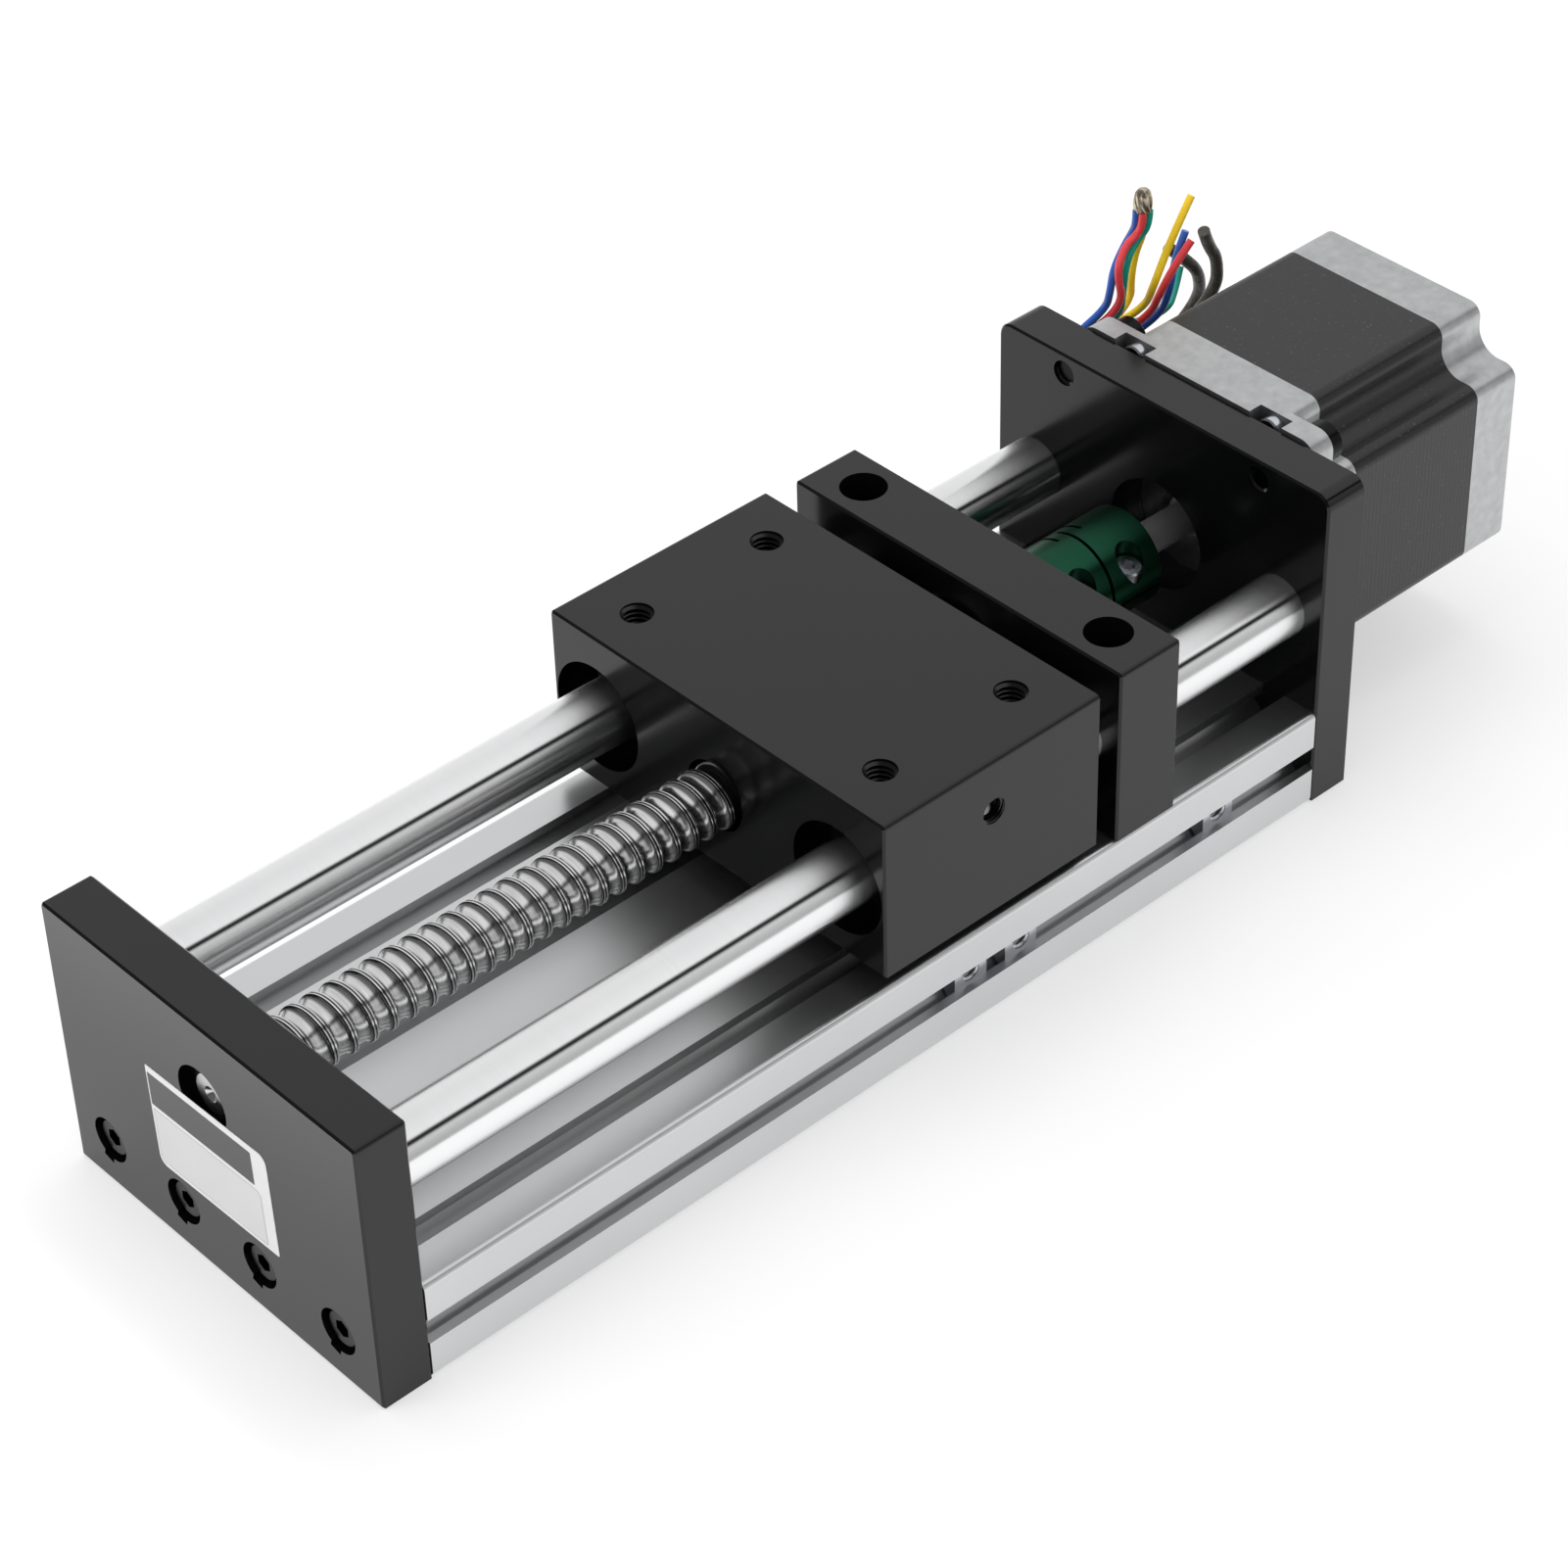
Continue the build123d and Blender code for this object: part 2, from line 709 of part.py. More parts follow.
def motor_front_flange():
    ears = RectangleRounded(motor_size, motor_size, motor_ear_corner_radius)
    for y in (-motor_hole_offset, motor_hole_offset):
        for z in (-motor_hole_offset, motor_hole_offset):
            ears -= Pos(y, z) * Circle(m5_low_head[0] / 2 + clearance_hole_gap)
    solid = along_x(ears, motor_front, ears_back, z=axis_height)
    solid += along_x(motor_face(), ears_back, stack_front, z=axis_height)
    boss_front = motor_front - motor_boss_height
    solid += bar_x(motor_boss_d, boss_front, motor_front)
    solid -= bar_x(motor_boss_hole_d, boss_front, stack_front)
    bearing_seat = motor_front + motor_front_wall
    solid -= bar_x(support_bearing_d, bearing_seat, stack_front)
    winding_space_d = motor_winding_outer_d + 2 * small_gap
    winding_room = motor_winding_length + small_gap
    solid -= bar_x(winding_space_d, stack_front - winding_room, stack_front)
    for y, z, side in case_screw_places():
        pocket_end = motor_front + case_screw_pocket_depth
        half_pocket = case_screw_pocket_width / 2
        pocket_low = z - side * case_screw[1] / 2 - side * pocket_gap
        pocket_high = axis_height + side * motor_size
        low, high = sorted((pocket_low, pocket_high))
        solid -= box_between(
            motor_front, pocket_end, y - half_pocket, y + half_pocket, low, high
        )
        solid -= bar_x(case_screw[0] + 2 * thread_gap, pocket_end, stack_front, y, z)
    return solid - grommet_block(motor_size)


def motor_stack():
    solid = along_x(motor_face(), stack_front, stack_back, z=axis_height)
    solid -= bar_x(motor_rotor_d + 2 * rotor_gap, stack_front, stack_back)
    for y, z, _ in case_screw_places():
        solid -= bar_x(case_screw[0] + 2 * thread_gap, stack_front, stack_back, y, z)
    return solid


def motor_windings():
    """The ends of the coils, one ring against each end of the stack."""
    inner_d = motor_winding_outer_d - 2 * motor_winding_thickness
    front = stack_front - motor_winding_length
    back = stack_back + motor_winding_length
    return [
        ring_x(motor_winding_outer_d, inner_d, front, stack_front),
        ring_x(motor_winding_outer_d, inner_d, stack_back, back),
    ]


def motor_rear_bell():
    solid = along_x(motor_face(), stack_back, motor_back, z=axis_height)
    winding_space_d = motor_winding_outer_d + 2 * small_gap
    solid -= bar_x(winding_space_d, stack_back, stack_back + motor_winding_length + small_gap)
    solid -= bar_x(support_bearing_d, stack_back, motor_back - motor_back_wall)
    for y, z, _ in case_screw_places():
        screw_end = motor_back - case_screw_end_wall
        solid -= bar_x(case_screw[0] + 2 * thread_gap, stack_back, screw_end, y, z)
    return solid


def motor_bearings():
    outers = []
    inners = []
    front = motor_front + motor_front_wall
    back = motor_back - motor_back_wall - support_bearing_width
    for start in (front, back):
        outer, inner = shielded_bearing(
            support_bearing_d,
            motor_bearing_shaft_d,
            support_inner_ring_d,
            start,
            support_bearing_width,
        )
        outers.append(outer)
        inners.append(inner)
    return outers, inners


def motor_rotor():
    """The motor's shaft with the magnet stack pressed on it."""
    step = motor_front - motor_boss_height
    grip_front = coupling_back - coupling_hub_depth
    solid = bar_x(motor_shaft_d, grip_front, step)
    solid += bar_x(motor_bearing_shaft_d, step, motor_back - motor_back_wall)
    front = stack_front + motor_rotor_end_gap
    back = stack_back - motor_rotor_end_gap
    return solid + bar_x(motor_rotor_d, front, back)


def motor_bolts():
    """The bolts that go through the ears into the motor plate's threads."""
    reach = ears_back - motor_plate_front - motor_bolt_recess
    bolt = Rot(0, 90, 0) * socket_screw(m5_low_head, reach)
    bolts = []
    for y in (-motor_hole_offset, motor_hole_offset):
        for z in (-motor_hole_offset, motor_hole_offset):
            bolts.append(Pos(ears_back, y, axis_height + z) * bolt)
    return bolts


def motor_case_screws():
    seat = motor_front + case_screw_pocket_depth
    length = motor_back - case_screw_end_wall - small_gap - seat
    screw = Rot(0, -90, 0) * socket_screw(case_screw, length)
    return [Pos(seat, y, z) * screw for y, z, _ in case_screw_places()]


def grommet_block(outer_y):
    """The block the leads pass through, from the windings' room out to outer_y."""
    half = grommet_size / 2
    low = grommet_face[2] - grommet_height / 2
    high = low + grommet_height
    inner_y = motor_winding_outer_d / 2
    return box_between(
        grommet_middle - half, grommet_middle + half, inner_y, outer_y, low, high
    )


def lead_grommet():
    return grommet_block(grommet_face[1])


# Nuts held in the right side slot
def slot_nuts():
    top = -slot_lip
    shelf = -slot_lip - slot_inner_step + slot_nut_gap
    bottom = -slot_lip - slot_nut_thickness
    half = slot_inner_width / 2 - slot_nut_gap
    low_half = half - (shelf - bottom)
    points = [(low_half, bottom), (half, shelf), (half, top)]
    face = Polygon(*points, *[(-y, z) for y, z in reversed(points)], align=None)
    face = Pos(-module_width / 2, profile_height / 2) * Rot(0, 0, 90) * face
    nuts = []
    for place in slot_nut_places:
        start = module_front + place - slot_nut_length / 2
        nut = along_x(face, start, start + slot_nut_length)
        hole = Rot(90, 0, 0) * Cylinder(slot_nut_thread_d / 2, module_width / 4)
        nuts.append(nut - Pos(module_front + place, -module_width / 2, profile_height / 2) * hole)
    return nuts


# Leads: each route starts at the grommet's outer face and is counted from its middle.
# The first run of each leads straight out, and the corners after it follow the lead's bends.
lead_routes = {
    "lead_left_blue": (
        lead_d,
        [
            (-1.7, 0.0, 3.0),
            (-1.7, 5.7, 3.0),
            (0.0, 9.4, 8.1),
            (5.4, 6.1, 13.5),
            (5.1, 4.8, 17.9),
            (5.8, 4.8, 22.4),
            (9.3, 5.5, 25.7),
            (10.3, 4.2, 29.2),
            (9.8, 3.2, 31.5),
            (9.8, 3.2, 34.0),
        ],
    ),
    "lead_left_red": (
        lead_d,
        [
            (-1.7, 0.0, 1.3),
            (-1.7, 6.3, 1.3),
            (1.1, 9.6, 6.3),
            (7.3, 3.2, 14.6),
            (4.6, 2.9, 23.3),
            (7.3, 3.4, 27.5),
            (9.1, 2.4, 29.3),
            (9.8, 1.6, 31.6),
            (9.8, 1.6, 34.0),
        ],
    ),
    "lead_left_green": (
        lead_d,
        [
            (0.0, 0.0, 3.0),
            (0.0, 6.2, 3.0),
            (3.9, 9.4, 7.0),
            (8.9, 5.6, 10.6),
            (7.6, 4.0, 17.3),
            (7.5, 3.2, 24.5),
            (10.3, 3.1, 27.9),
            (11.5, 1.6, 30.7),
            (11.5, 1.6, 34.0),
        ],
    ),
    "lead_left_yellow": (
        lead_d,
        [
            (0.0, 0.0, 1.3),
            (0.0, 5.2, 1.3),
            (4.0, 10.3, 3.4),
            (13.7, 7.5, 10.4),
            (12.6, 6.7, 17.1),
            (13.0, 6.1, 22.5),
            (13.2, 4.4, 27.3),
            (11.5, 3.2, 31.4),
            (11.5, 3.2, 34.0),
        ],
    ),
    "lead_right_yellow": (
        lead_d,
        [
            (1.7, 0.0, 3.0),
            (1.7, 6.0, 3.0),
            (5.7, 9.0, 6.3),
            (13.8, 4.1, 10.8),
            (12.7, 1.0, 17.6),
            (15.0, 0.8, 22.6),
            (17.0, -0.3, 28.9),
            (20.3, -0.6, 34.3),
        ],
    ),
    "lead_right_red": (
        lead_d,
        [
            (1.7, 0.0, 1.3),
            (1.7, 5.4, 1.3),
            (6.3, 9.2, 3.3),
            (15.7, 4.6, 7.7),
            (15.8, 2.0, 14.6),
            (19.4, 1.6, 19.4),
            (22.6, 1.0, 23.0),
        ],
    ),
    "lead_right_blue": (
        lead_d,
        [
            (1.7, 0.0, -0.4),
            (1.7, 5.5, -0.4),
            (7.6, 9.8, 0.7),
            (18.1, 4.4, 6.6),
            (18.1, 1.9, 13.6),
            (21.0, 3.6, 18.4),
            (23.4, 3.3, 23.7),
        ],
    ),
    "lead_right_green": (
        lead_d,
        [
            (0.0, 0.0, -0.4),
            (0.0, 6.6, -0.4),
            (9.9, 12.0, 3.7),
            (20.2, 4.4, 6.5),
            (26.1, 7.6, 8.5),
            (28.0, 8.5, 11.7),
        ],
    ),
    "sleeve_long": (
        sleeve_d,
        [
            (1.4, 0.0, -2.8),
            (1.4, 4.9, -2.8),
            (4.2, 9.3, -2.4),
            (11.4, 12.4, -1.0),
            (24.7, 7.3, -3.2),
            (33.5, 4.0, 5.8),
            (33.2, 3.8, 13.2),
            (30.8, 4.2, 17.0),
            (29.0, 3.8, 21.0),
        ],
    ),
    "sleeve_short": (
        sleeve_d,
        [
            (-1.4, 0.0, -2.8),
            (-1.4, 6.2, -2.8),
            (4.5, 14.8, -6.8),
            (23.8, 14.5, -12.6),
            (35.8, 10.3, -0.6),
            (33.1, 8.0, 8.3),
            (29.8, 9.3, 12.3),
            (27.3, 11.4, 15.0),
        ],
    ),
}


def lead_tube(name, diameter, points):
    """A round tube of straight runs and tangent arcs, each as large as its runs allow."""
    corners = [Vector(*point) for point in points]
    radii = []
    for before, corner, after in zip(corners, corners[1:], corners[2:]):
        arriving = corner - before
        leaving = after - corner
        half_turn = math.radians(arriving.get_angle(leaving)) / 2
        shorter = min(arriving.length, leaving.length)
        radii.append(arc_share * shorter / math.tan(half_turn))
    path = FilletPolyline(*corners, radius=radii)
    section = Plane(corners[0], z_dir=corners[1] - corners[0]) * Circle(diameter / 2)
    tube = sweep(section, path=path)
    expected = math.pi * diameter**2 / 4 * path.length
    print(name, "length", round(path.length, 1), "volume share", round(tube.volume / expected, 3))
    print(name, "bend radii", [round(radius, 1) for radius in radii])
    return Pos(*grommet_face) * tube


def soldered_tip():
    """The blob of solder round the four left leads' ends, its face on theirs."""
    ends = [lead_routes[name][1][-1] for name in soldered_leads]
    x = grommet_face[0] + sum(end[0] for end in ends) / len(ends)
    y = grommet_face[1] + sum(end[1] for end in ends) / len(ends)
    z = grommet_face[2] + ends[0][2]
    blob = bar_z(soldered_tip_d, x, y, z, z + soldered_tip_height)
    return fillet(blob.edges().sort_by(Axis.Z)[-1], soldered_tip_d / 4)


def leads():
    nodes = {name: lead_tube(name, *route) for name, route in lead_routes.items()}
    nodes["soldered_tip"] = soldered_tip()
    return nodes


def build_nodes():
    """Every sub-part by the name of its node: one solid or a list of them."""
    support_outer, support_inner = support_bearing()
    fixed_outers, fixed_inners = fixed_bearings()
    motor_outers, motor_inners = motor_bearings()
    nodes = {
        "base_profile": base_profile(),
        "front_plate": front_plate(),
        "front_plate_screws": plate_screws(module_front, 1),
        "motor_plate": motor_plate(),
        "motor_plate_screws": plate_screws(motor_front, -1),
        "guide_shaft_left": guide_shaft(shaft_y),
        "guide_shaft_right": guide_shaft(-shaft_y),
        "bearing_block": bearing_block(),
        "bearing_block_screws": block_screws(),
        "shaft_lock_screws": shaft_lock_screws(),
        "slot_nuts": slot_nuts(),
        "support_bearing_outer": support_outer,
        "support_bearing_inner": support_inner,
        "fixed_bearing_outers": fixed_outers,
        "fixed_bearing_inners": fixed_inners,
        "ball_screw": ball_screw(),
        "lock_nut": lock_nut(),
        "carriage_block": carriage_block(),
        "linear_bearing_left": linear_bearing(shaft_y),
        "linear_bearing_right": linear_bearing(-shaft_y),
        "linear_bearing_seals": linear_bearing_seals(),
        "circlips": circlips(),
        "ball_nut": ball_nut(),
        "nut_screws": nut_screws(),
        "coupling_body": coupling_body(),
        "coupling_screws": coupling_screws(),
        "motor_front_flange": motor_front_flange(),
        "motor_stack": motor_stack(),
        "motor_windings": motor_windings(),
        "motor_rear_bell": motor_rear_bell(),
        "motor_bearing_outers": motor_outers,
        "motor_bearing_inners": motor_inners,
        "motor_rotor": motor_rotor(),
        "motor_bolts": motor_bolts(),
        "motor_case_screws": motor_case_screws(),
        "lead_grommet": lead_grommet(),
    }
    nodes.update(leads())
    return nodes


os.makedirs("parts", exist_ok=True)
for name, shape in build_nodes().items():
    solids = shape if isinstance(shape, list) else [shape]
    pieces = [solid for item in solids for solid in item.solids()]
    whole = pieces[0] if len(pieces) == 1 else Compound(children=pieces)
    export_step(whole, f"parts/{name}.step")
    print(name, len(pieces), "solids", round(sum(piece.volume for piece in pieces), 1), "mm3")
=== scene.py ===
# %% [markdown]
# # A double shaft linear module, dressed for rendering
#
# This lesson takes a small linear module that came out of a CAD program and gives it its looks.
# The CAD model is loaded as a fixed frame: every plate, shaft and bearing already has its true
# size and place. Here we add what CAD leaves plain, such as the groove of the ball screw, the
# threads in the holes, the sticker and the motor's leads, and we give each surface its finish.
#
# The frame is in metres. X runs towards the motor, Y across the module and Z up.

# %% Load the frame
import math
import random

import bmesh
import bpy
from mathutils import Matrix, Vector


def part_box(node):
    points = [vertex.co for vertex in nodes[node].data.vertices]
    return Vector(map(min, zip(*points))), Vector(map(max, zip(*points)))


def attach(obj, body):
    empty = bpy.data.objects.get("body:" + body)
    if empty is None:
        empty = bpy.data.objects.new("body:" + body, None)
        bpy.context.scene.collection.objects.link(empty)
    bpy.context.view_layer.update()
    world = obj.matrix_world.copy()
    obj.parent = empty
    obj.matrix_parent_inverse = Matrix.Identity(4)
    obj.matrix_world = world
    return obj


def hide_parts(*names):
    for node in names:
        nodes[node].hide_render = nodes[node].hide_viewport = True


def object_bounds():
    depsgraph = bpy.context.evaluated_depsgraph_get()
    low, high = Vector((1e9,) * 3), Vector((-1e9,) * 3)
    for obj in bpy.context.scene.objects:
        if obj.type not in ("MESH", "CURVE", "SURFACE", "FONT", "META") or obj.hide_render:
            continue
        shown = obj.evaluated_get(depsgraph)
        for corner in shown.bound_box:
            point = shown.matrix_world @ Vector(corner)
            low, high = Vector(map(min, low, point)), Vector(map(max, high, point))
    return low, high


MM = 0.001
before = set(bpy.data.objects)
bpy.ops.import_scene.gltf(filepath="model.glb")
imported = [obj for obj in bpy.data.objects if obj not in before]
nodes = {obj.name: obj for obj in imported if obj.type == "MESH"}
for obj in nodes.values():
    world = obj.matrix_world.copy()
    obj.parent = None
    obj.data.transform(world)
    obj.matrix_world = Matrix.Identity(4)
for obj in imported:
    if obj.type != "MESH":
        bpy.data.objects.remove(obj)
cad_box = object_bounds()
print("nodes in the frame:", len(nodes))

# %% [markdown]
# ## Colours and nodes
#
# Colours are picked as sRGB hex values, the way a paint chart or a photo shows them. Blender
# calculates in linear light, so one function converts them. A second small function adds a
# shader node, sets its values and links its inputs, which keeps each material short to read.
# Two more begin a material and link its finished surface to the output.


# %% Colour and node helpers
def hex_colour(code, alpha=1.0):
    """Turns an sRGB hex colour into the linear one that Blender calculates with."""
    channels = []
    for start in (0, 2, 4):
        value = int(code[start : start + 2], 16) / 255
        if value <= 0.04045:
            channels.append(value / 12.92)
        else:
            channels.append(((value + 0.055) / 1.055) ** 2.4)
    return (*channels, alpha)


def add_node(tree, kind, inputs=None, **settings):
    """Adds one node; an input may be a plain value or another node's output to link."""
    node = tree.nodes.new(kind)
    for name, value in settings.items():
        setattr(node, name, value)
    for name, value in (inputs or {}).items():
        if isinstance(value, bpy.types.NodeSocket):
            tree.links.new(value, node.inputs[name])
        else:
            node.inputs[name].default_value = value
    return node


def new_material(name):
    """A node material with its output, ready for a surface shader."""
    material = bpy.data.materials.new(name)
    material.use_nodes = True
    tree = material.node_tree
    tree.nodes.clear()
    output = add_node(tree, "ShaderNodeOutputMaterial")
    return material, tree, output


def finish_with(tree, output, shader):
    """Links the surface shader to the material's output."""
    tree.links.new(shader.outputs[0], output.inputs["Surface"])


print("helpers: colours, nodes and materials")

# %% [markdown]
# ## The camera
#
# The camera was worked out from the corners of the plates in the photograph: where it stands,
# how far it leans and how long its lens is. It looks down on the module from the front right.

# %% Camera
camera_place = Vector((-0.40185, -0.43362, 0.49981))
camera_azimuth = math.radians(-41.619)
camera_elevation = math.radians(38.848)
camera_roll = math.radians(-1.759)

level = math.cos(camera_elevation)
backwards = Vector(
    (
        math.sin(camera_azimuth) * level,
        -math.cos(camera_azimuth) * level,
        math.sin(camera_elevation),
    )
)
level_right = (-backwards).cross(Vector((0, 0, 1))).normalized()
level_up = level_right.cross(-backwards)
right = level_right * math.cos(camera_roll) + level_up * math.sin(camera_roll)
up = level_up * math.cos(camera_roll) - level_right * math.sin(camera_roll)

camera_data = bpy.data.cameras.new("camera")
camera_data.lens = 100.3
camera_data.sensor_width = 36
camera_data.sensor_fit = "HORIZONTAL"
camera_data.clip_end = 20
camera = bpy.data.objects.new("camera", camera_data)
turn = Matrix((right, up, backwards)).transposed().to_4x4()
camera.matrix_world = Matrix.Translation(camera_place) @ turn
bpy.context.scene.collection.objects.link(camera)
bpy.context.scene.camera = camera
bpy.context.scene.view_settings.view_transform = "Standard"
print("camera stands", round(camera_place.length, 3), "m from the module's middle")

# %% [markdown]
# ## The white room
#
# Polished steel shows its surroundings more than its own colour, so the room matters as much
# as the materials. It is the kind that catalogue photographs are taken in: a white sweep of
# paper below and white cloth all round. One thin dark gap is left in the cloth, at the height
# of the camera. Every round bar mirrors that gap as the fine black line along its middle.
#
# The front plate mirrors the floor before it, and is brightest at its top left in the
# photograph. So the paper glows a little more in a pool in front of the module, to the left.

# %% Floor
floor_half = 2.0  # metres
floor_gap = 0.2 * MM  # keeps the floor clear of the profile's underside
floor_mesh = bpy.data.meshes.new("floor")
ways = ((-1, -1), (1, -1), (1, 1), (-1, 1))
floor_corners = [(x * floor_half, y * floor_half, 0) for x, y in ways]
floor_mesh.from_pydata(floor_corners, [], [(0, 1, 2, 3)])
floor = bpy.data.objects.new("floor", floor_mesh)
floor.location.z = -floor_gap
bpy.context.scene.collection.objects.link(floor)
print("floor:", 2 * floor_half, "m square")

# %% Sweep paper
pool_glow, paper_glow = 0.9, 0.50
pool_edges = {
    # metres, just outside the pool and well inside it
    "X": (-0.150, -0.205),
    "Y": (-0.20, 0.10),
}
sweep_paper, tree, output = new_material("white_sweep_paper")
place = add_node(tree, "ShaderNodeTexCoord")
spot = add_node(tree, "ShaderNodeSeparateXYZ", {0: place.outputs["Object"]})
edges = []
for axis, (outside, inside) in pool_edges.items():
    edge = add_node(
        tree,
        "ShaderNodeMapRange",
        {"Value": spot.outputs[axis], "From Min": outside, "From Max": inside},
        interpolation_type="SMOOTHSTEP",
    )
    edges.append(edge.outputs[0])
pool = add_node(tree, "ShaderNodeMath", {0: edges[0], 1: edges[1]}, operation="MULTIPLY")
glow = add_node(
    tree,
    "ShaderNodeMath",
    {0: pool.outputs[0], 1: pool_glow, 2: paper_glow},
    operation="MULTIPLY_ADD",
)
paper = add_node(tree, "ShaderNodeBsdfDiffuse", {"Color": hex_colour("B2B2B2")})
lift = add_node(
    tree, "ShaderNodeEmission", {"Color": hex_colour("FFFFFF"), "Strength": glow.outputs[0]}
)
lifted = add_node(tree, "ShaderNodeAddShader", {0: paper.outputs[0], 1: lift.outputs[0]})
path = add_node(tree, "ShaderNodeLightPath")
seen = path.outputs["Is Camera Ray"]
for kind_of_ray in ("Is Glossy Ray", "Is Transmission Ray"):
    either = add_node(
        tree, "ShaderNodeMath", {0: seen, 1: path.outputs[kind_of_ray]}, operation="MAXIMUM"
    )
    seen = either.outputs[0]
surface = add_node(
    tree, "ShaderNodeMixShader", {0: seen, 1: paper.outputs[0], 2: lifted.outputs[0]}
)
finish_with(tree, output, surface)
floor_mesh.materials.append(sweep_paper)
print("made", sweep_paper.name)

# %% [markdown]
# The world is the cloth. Its grey is found from the angle of each direction around the
# module's long axis, counted from level on the left, up over the top to level on the right.

# %% Cloth
cloth = (
    # angle around the module in degrees, grey of the cloth there
    (-180, "9A9A9A"),
    (-4, "F2F2F2"),
    (8, "F4F4F4"),
    (60, "F0F0F0"),
    (112, "FFFFFF"),
    (122, "FFFFFF"),
    (127, "8C8C8C"),
    (129, "040404"),
    (137.5, "040404"),
    (139.5, "8C8C8C"),
    (145, "E0E0E0"),
    (155, "D4D4D4"),
    (180, "A8A8A8"),
)
world = bpy.data.worlds.new("white_room")
bpy.context.scene.world = world
world.use_nodes = True
tree = world.node_tree
tree.nodes.clear()
output = add_node(tree, "ShaderNodeOutputWorld")
place = add_node(tree, "ShaderNodeTexCoord")
direction = add_node(tree, "ShaderNodeSeparateXYZ", {0: place.outputs["Generated"]})
around = add_node(
    tree,
    "ShaderNodeMath",
    {0: direction.outputs["Z"], 1: direction.outputs["Y"]},
    operation="ARCTAN2",
)
share = add_node(
    tree,
    "ShaderNodeMapRange",
    {"Value": around.outputs[0], "From Min": -math.pi, "From Max": math.pi},
)
shade = add_node(tree, "ShaderNodeValToRGB", {0: share.outputs[0]})
ramp = shade.color_ramp
ramp.elements[0].color = hex_colour(cloth[0][1])
ramp.elements[1].color = hex_colour(cloth[-1][1])
for angle, grey in cloth[1:-1]:
    ramp.elements.new((angle + 180) / 360).color = hex_colour(grey)
print("cloth stops:", len(ramp.elements))

# %% [markdown]
# Two dark curtains close the room towards the module's ends. Flat tops and straight bars never
# mirror those ends, but the turning walls of the ball screw's track do, and that gives each
# turn its dark edges. Only mirrored rays meet the gap and the curtains: the light that falls
# on matt surfaces comes from plain white cloth.

# %% Curtains
curtains = (
    # how far a direction points along X where the curtain is full and where it has ended,
    # from -1 to 1, and the share of light that the curtain leaves
    (-0.15, 0.26, 0.18),
    (0.95, 0.78, 0.10),
)
ends = []
for full, ended, light_left in curtains:
    end = add_node(
        tree,
        "ShaderNodeMapRange",
        {
            "Value": direction.outputs["X"],
            "From Min": full,
            "From Max": ended,
            "To Min": light_left,
        },
        interpolation_type="SMOOTHSTEP",
    )
    ends.append(end.outputs[0])
curtain = add_node(tree, "ShaderNodeMath", {0: ends[0], 1: ends[1]}, operation="MULTIPLY")
room = add_node(
    tree, "ShaderNodeBackground", {"Color": shade.outputs[0], "Strength": curtain.outputs[0]}
)
soft = add_node(tree, "ShaderNodeBackground", {"Color": hex_colour("F4F4F4"), "Strength": 1.0})
white = add_node(tree, "ShaderNodeBackground", {"Color": hex_colour("FFFFFF"), "Strength": 1.0})
path = add_node(tree, "ShaderNodeLightPath")
lit = add_node(
    tree,
    "ShaderNodeMixShader",
    {0: path.outputs["Is Glossy Ray"], 1: soft.outputs[0], 2: room.outputs[0]},
)
shown = add_node(
    tree,
    "ShaderNodeMixShader",
    {0: path.outputs["Is Camera Ray"], 1: lit.outputs[0], 2: white.outputs[0]},
)
finish_with(tree, output, shown)
print("curtains:", len(curtains))

# %% [markdown]
# Two large soft boxes add a little direction, so that faces which look up are brighter than
# faces which look sideways. They are hidden from mirrors, because the cloth is what the steel
# should show.

# %% Soft boxes
soft_boxes = (
    # name, place, width, height, watts
    ("overhead_box", (0.05, 0.15, 1.10), 0.9, 0.7, 4.0),
    ("front_left_box", (-0.95, 0.30, 0.75), 0.6, 0.6, 3.0),
)
for name, place, width, tall, watts in soft_boxes:
    light_data = bpy.data.lights.new(name, "AREA")
    light_data.shape = "RECTANGLE"
    light_data.size = width
    light_data.size_y = tall
    light_data.energy = watts
    light = bpy.data.objects.new(name, light_data)
    light.location = place
    light.rotation_euler = (-Vector(place)).to_track_quat("-Z", "Y").to_euler()
    light.visible_glossy = False
    bpy.context.scene.collection.objects.link(light)
print("lights:", [box[0] for box in soft_boxes])

# %% [markdown]
# ## Textures at a real size
#
# No finish is quite even, and the unevenness is what makes it look real. The noise used here is
# sized in metres, so a grain of a quarter of a millimetre is that on the part too, and it can be
# drawn out into lines. A surface then mixes two colours by one texture and takes its relief from
# another.


# %% Texture helpers
def fine_noise(tree, size, detail=3.0, squeeze=(1.0, 1.0, 1.0)):
    """Noise whose features are about the given size in metres, drawn out where squeezed."""
    place = add_node(tree, "ShaderNodeTexCoord")
    stretched = add_node(
        tree, "ShaderNodeMapping", {"Vector": place.outputs["Object"], "Scale": squeeze}
    )
    inputs = {"Vector": stretched.outputs["Vector"], "Scale": 1 / size, "Detail": detail}
    return add_node(tree, "ShaderNodeTexNoise", inputs).outputs["Fac"]


def textured_surface(tree, tone, colours, relief, strength, depth, more):
    """A surface tinted between two hex colours by one texture and raised by another.

    More inputs, such as its roughness and IOR, come in a dictionary.
    """
    tint = add_node(
        tree,
        "ShaderNodeMix",
        {0: tone, 6: hex_colour(colours[0]), 7: hex_colour(colours[1])},
        data_type="RGBA",
    )
    bump = add_node(
        tree, "ShaderNodeBump", {"Height": relief, "Strength": strength, "Distance": depth}
    )
    inputs = {"Base Color": tint.outputs[2], "Normal": bump.outputs["Normal"]}
    return add_node(tree, "ShaderNodeBsdfPrincipled", {**inputs, **more})


print("texture helpers ready")

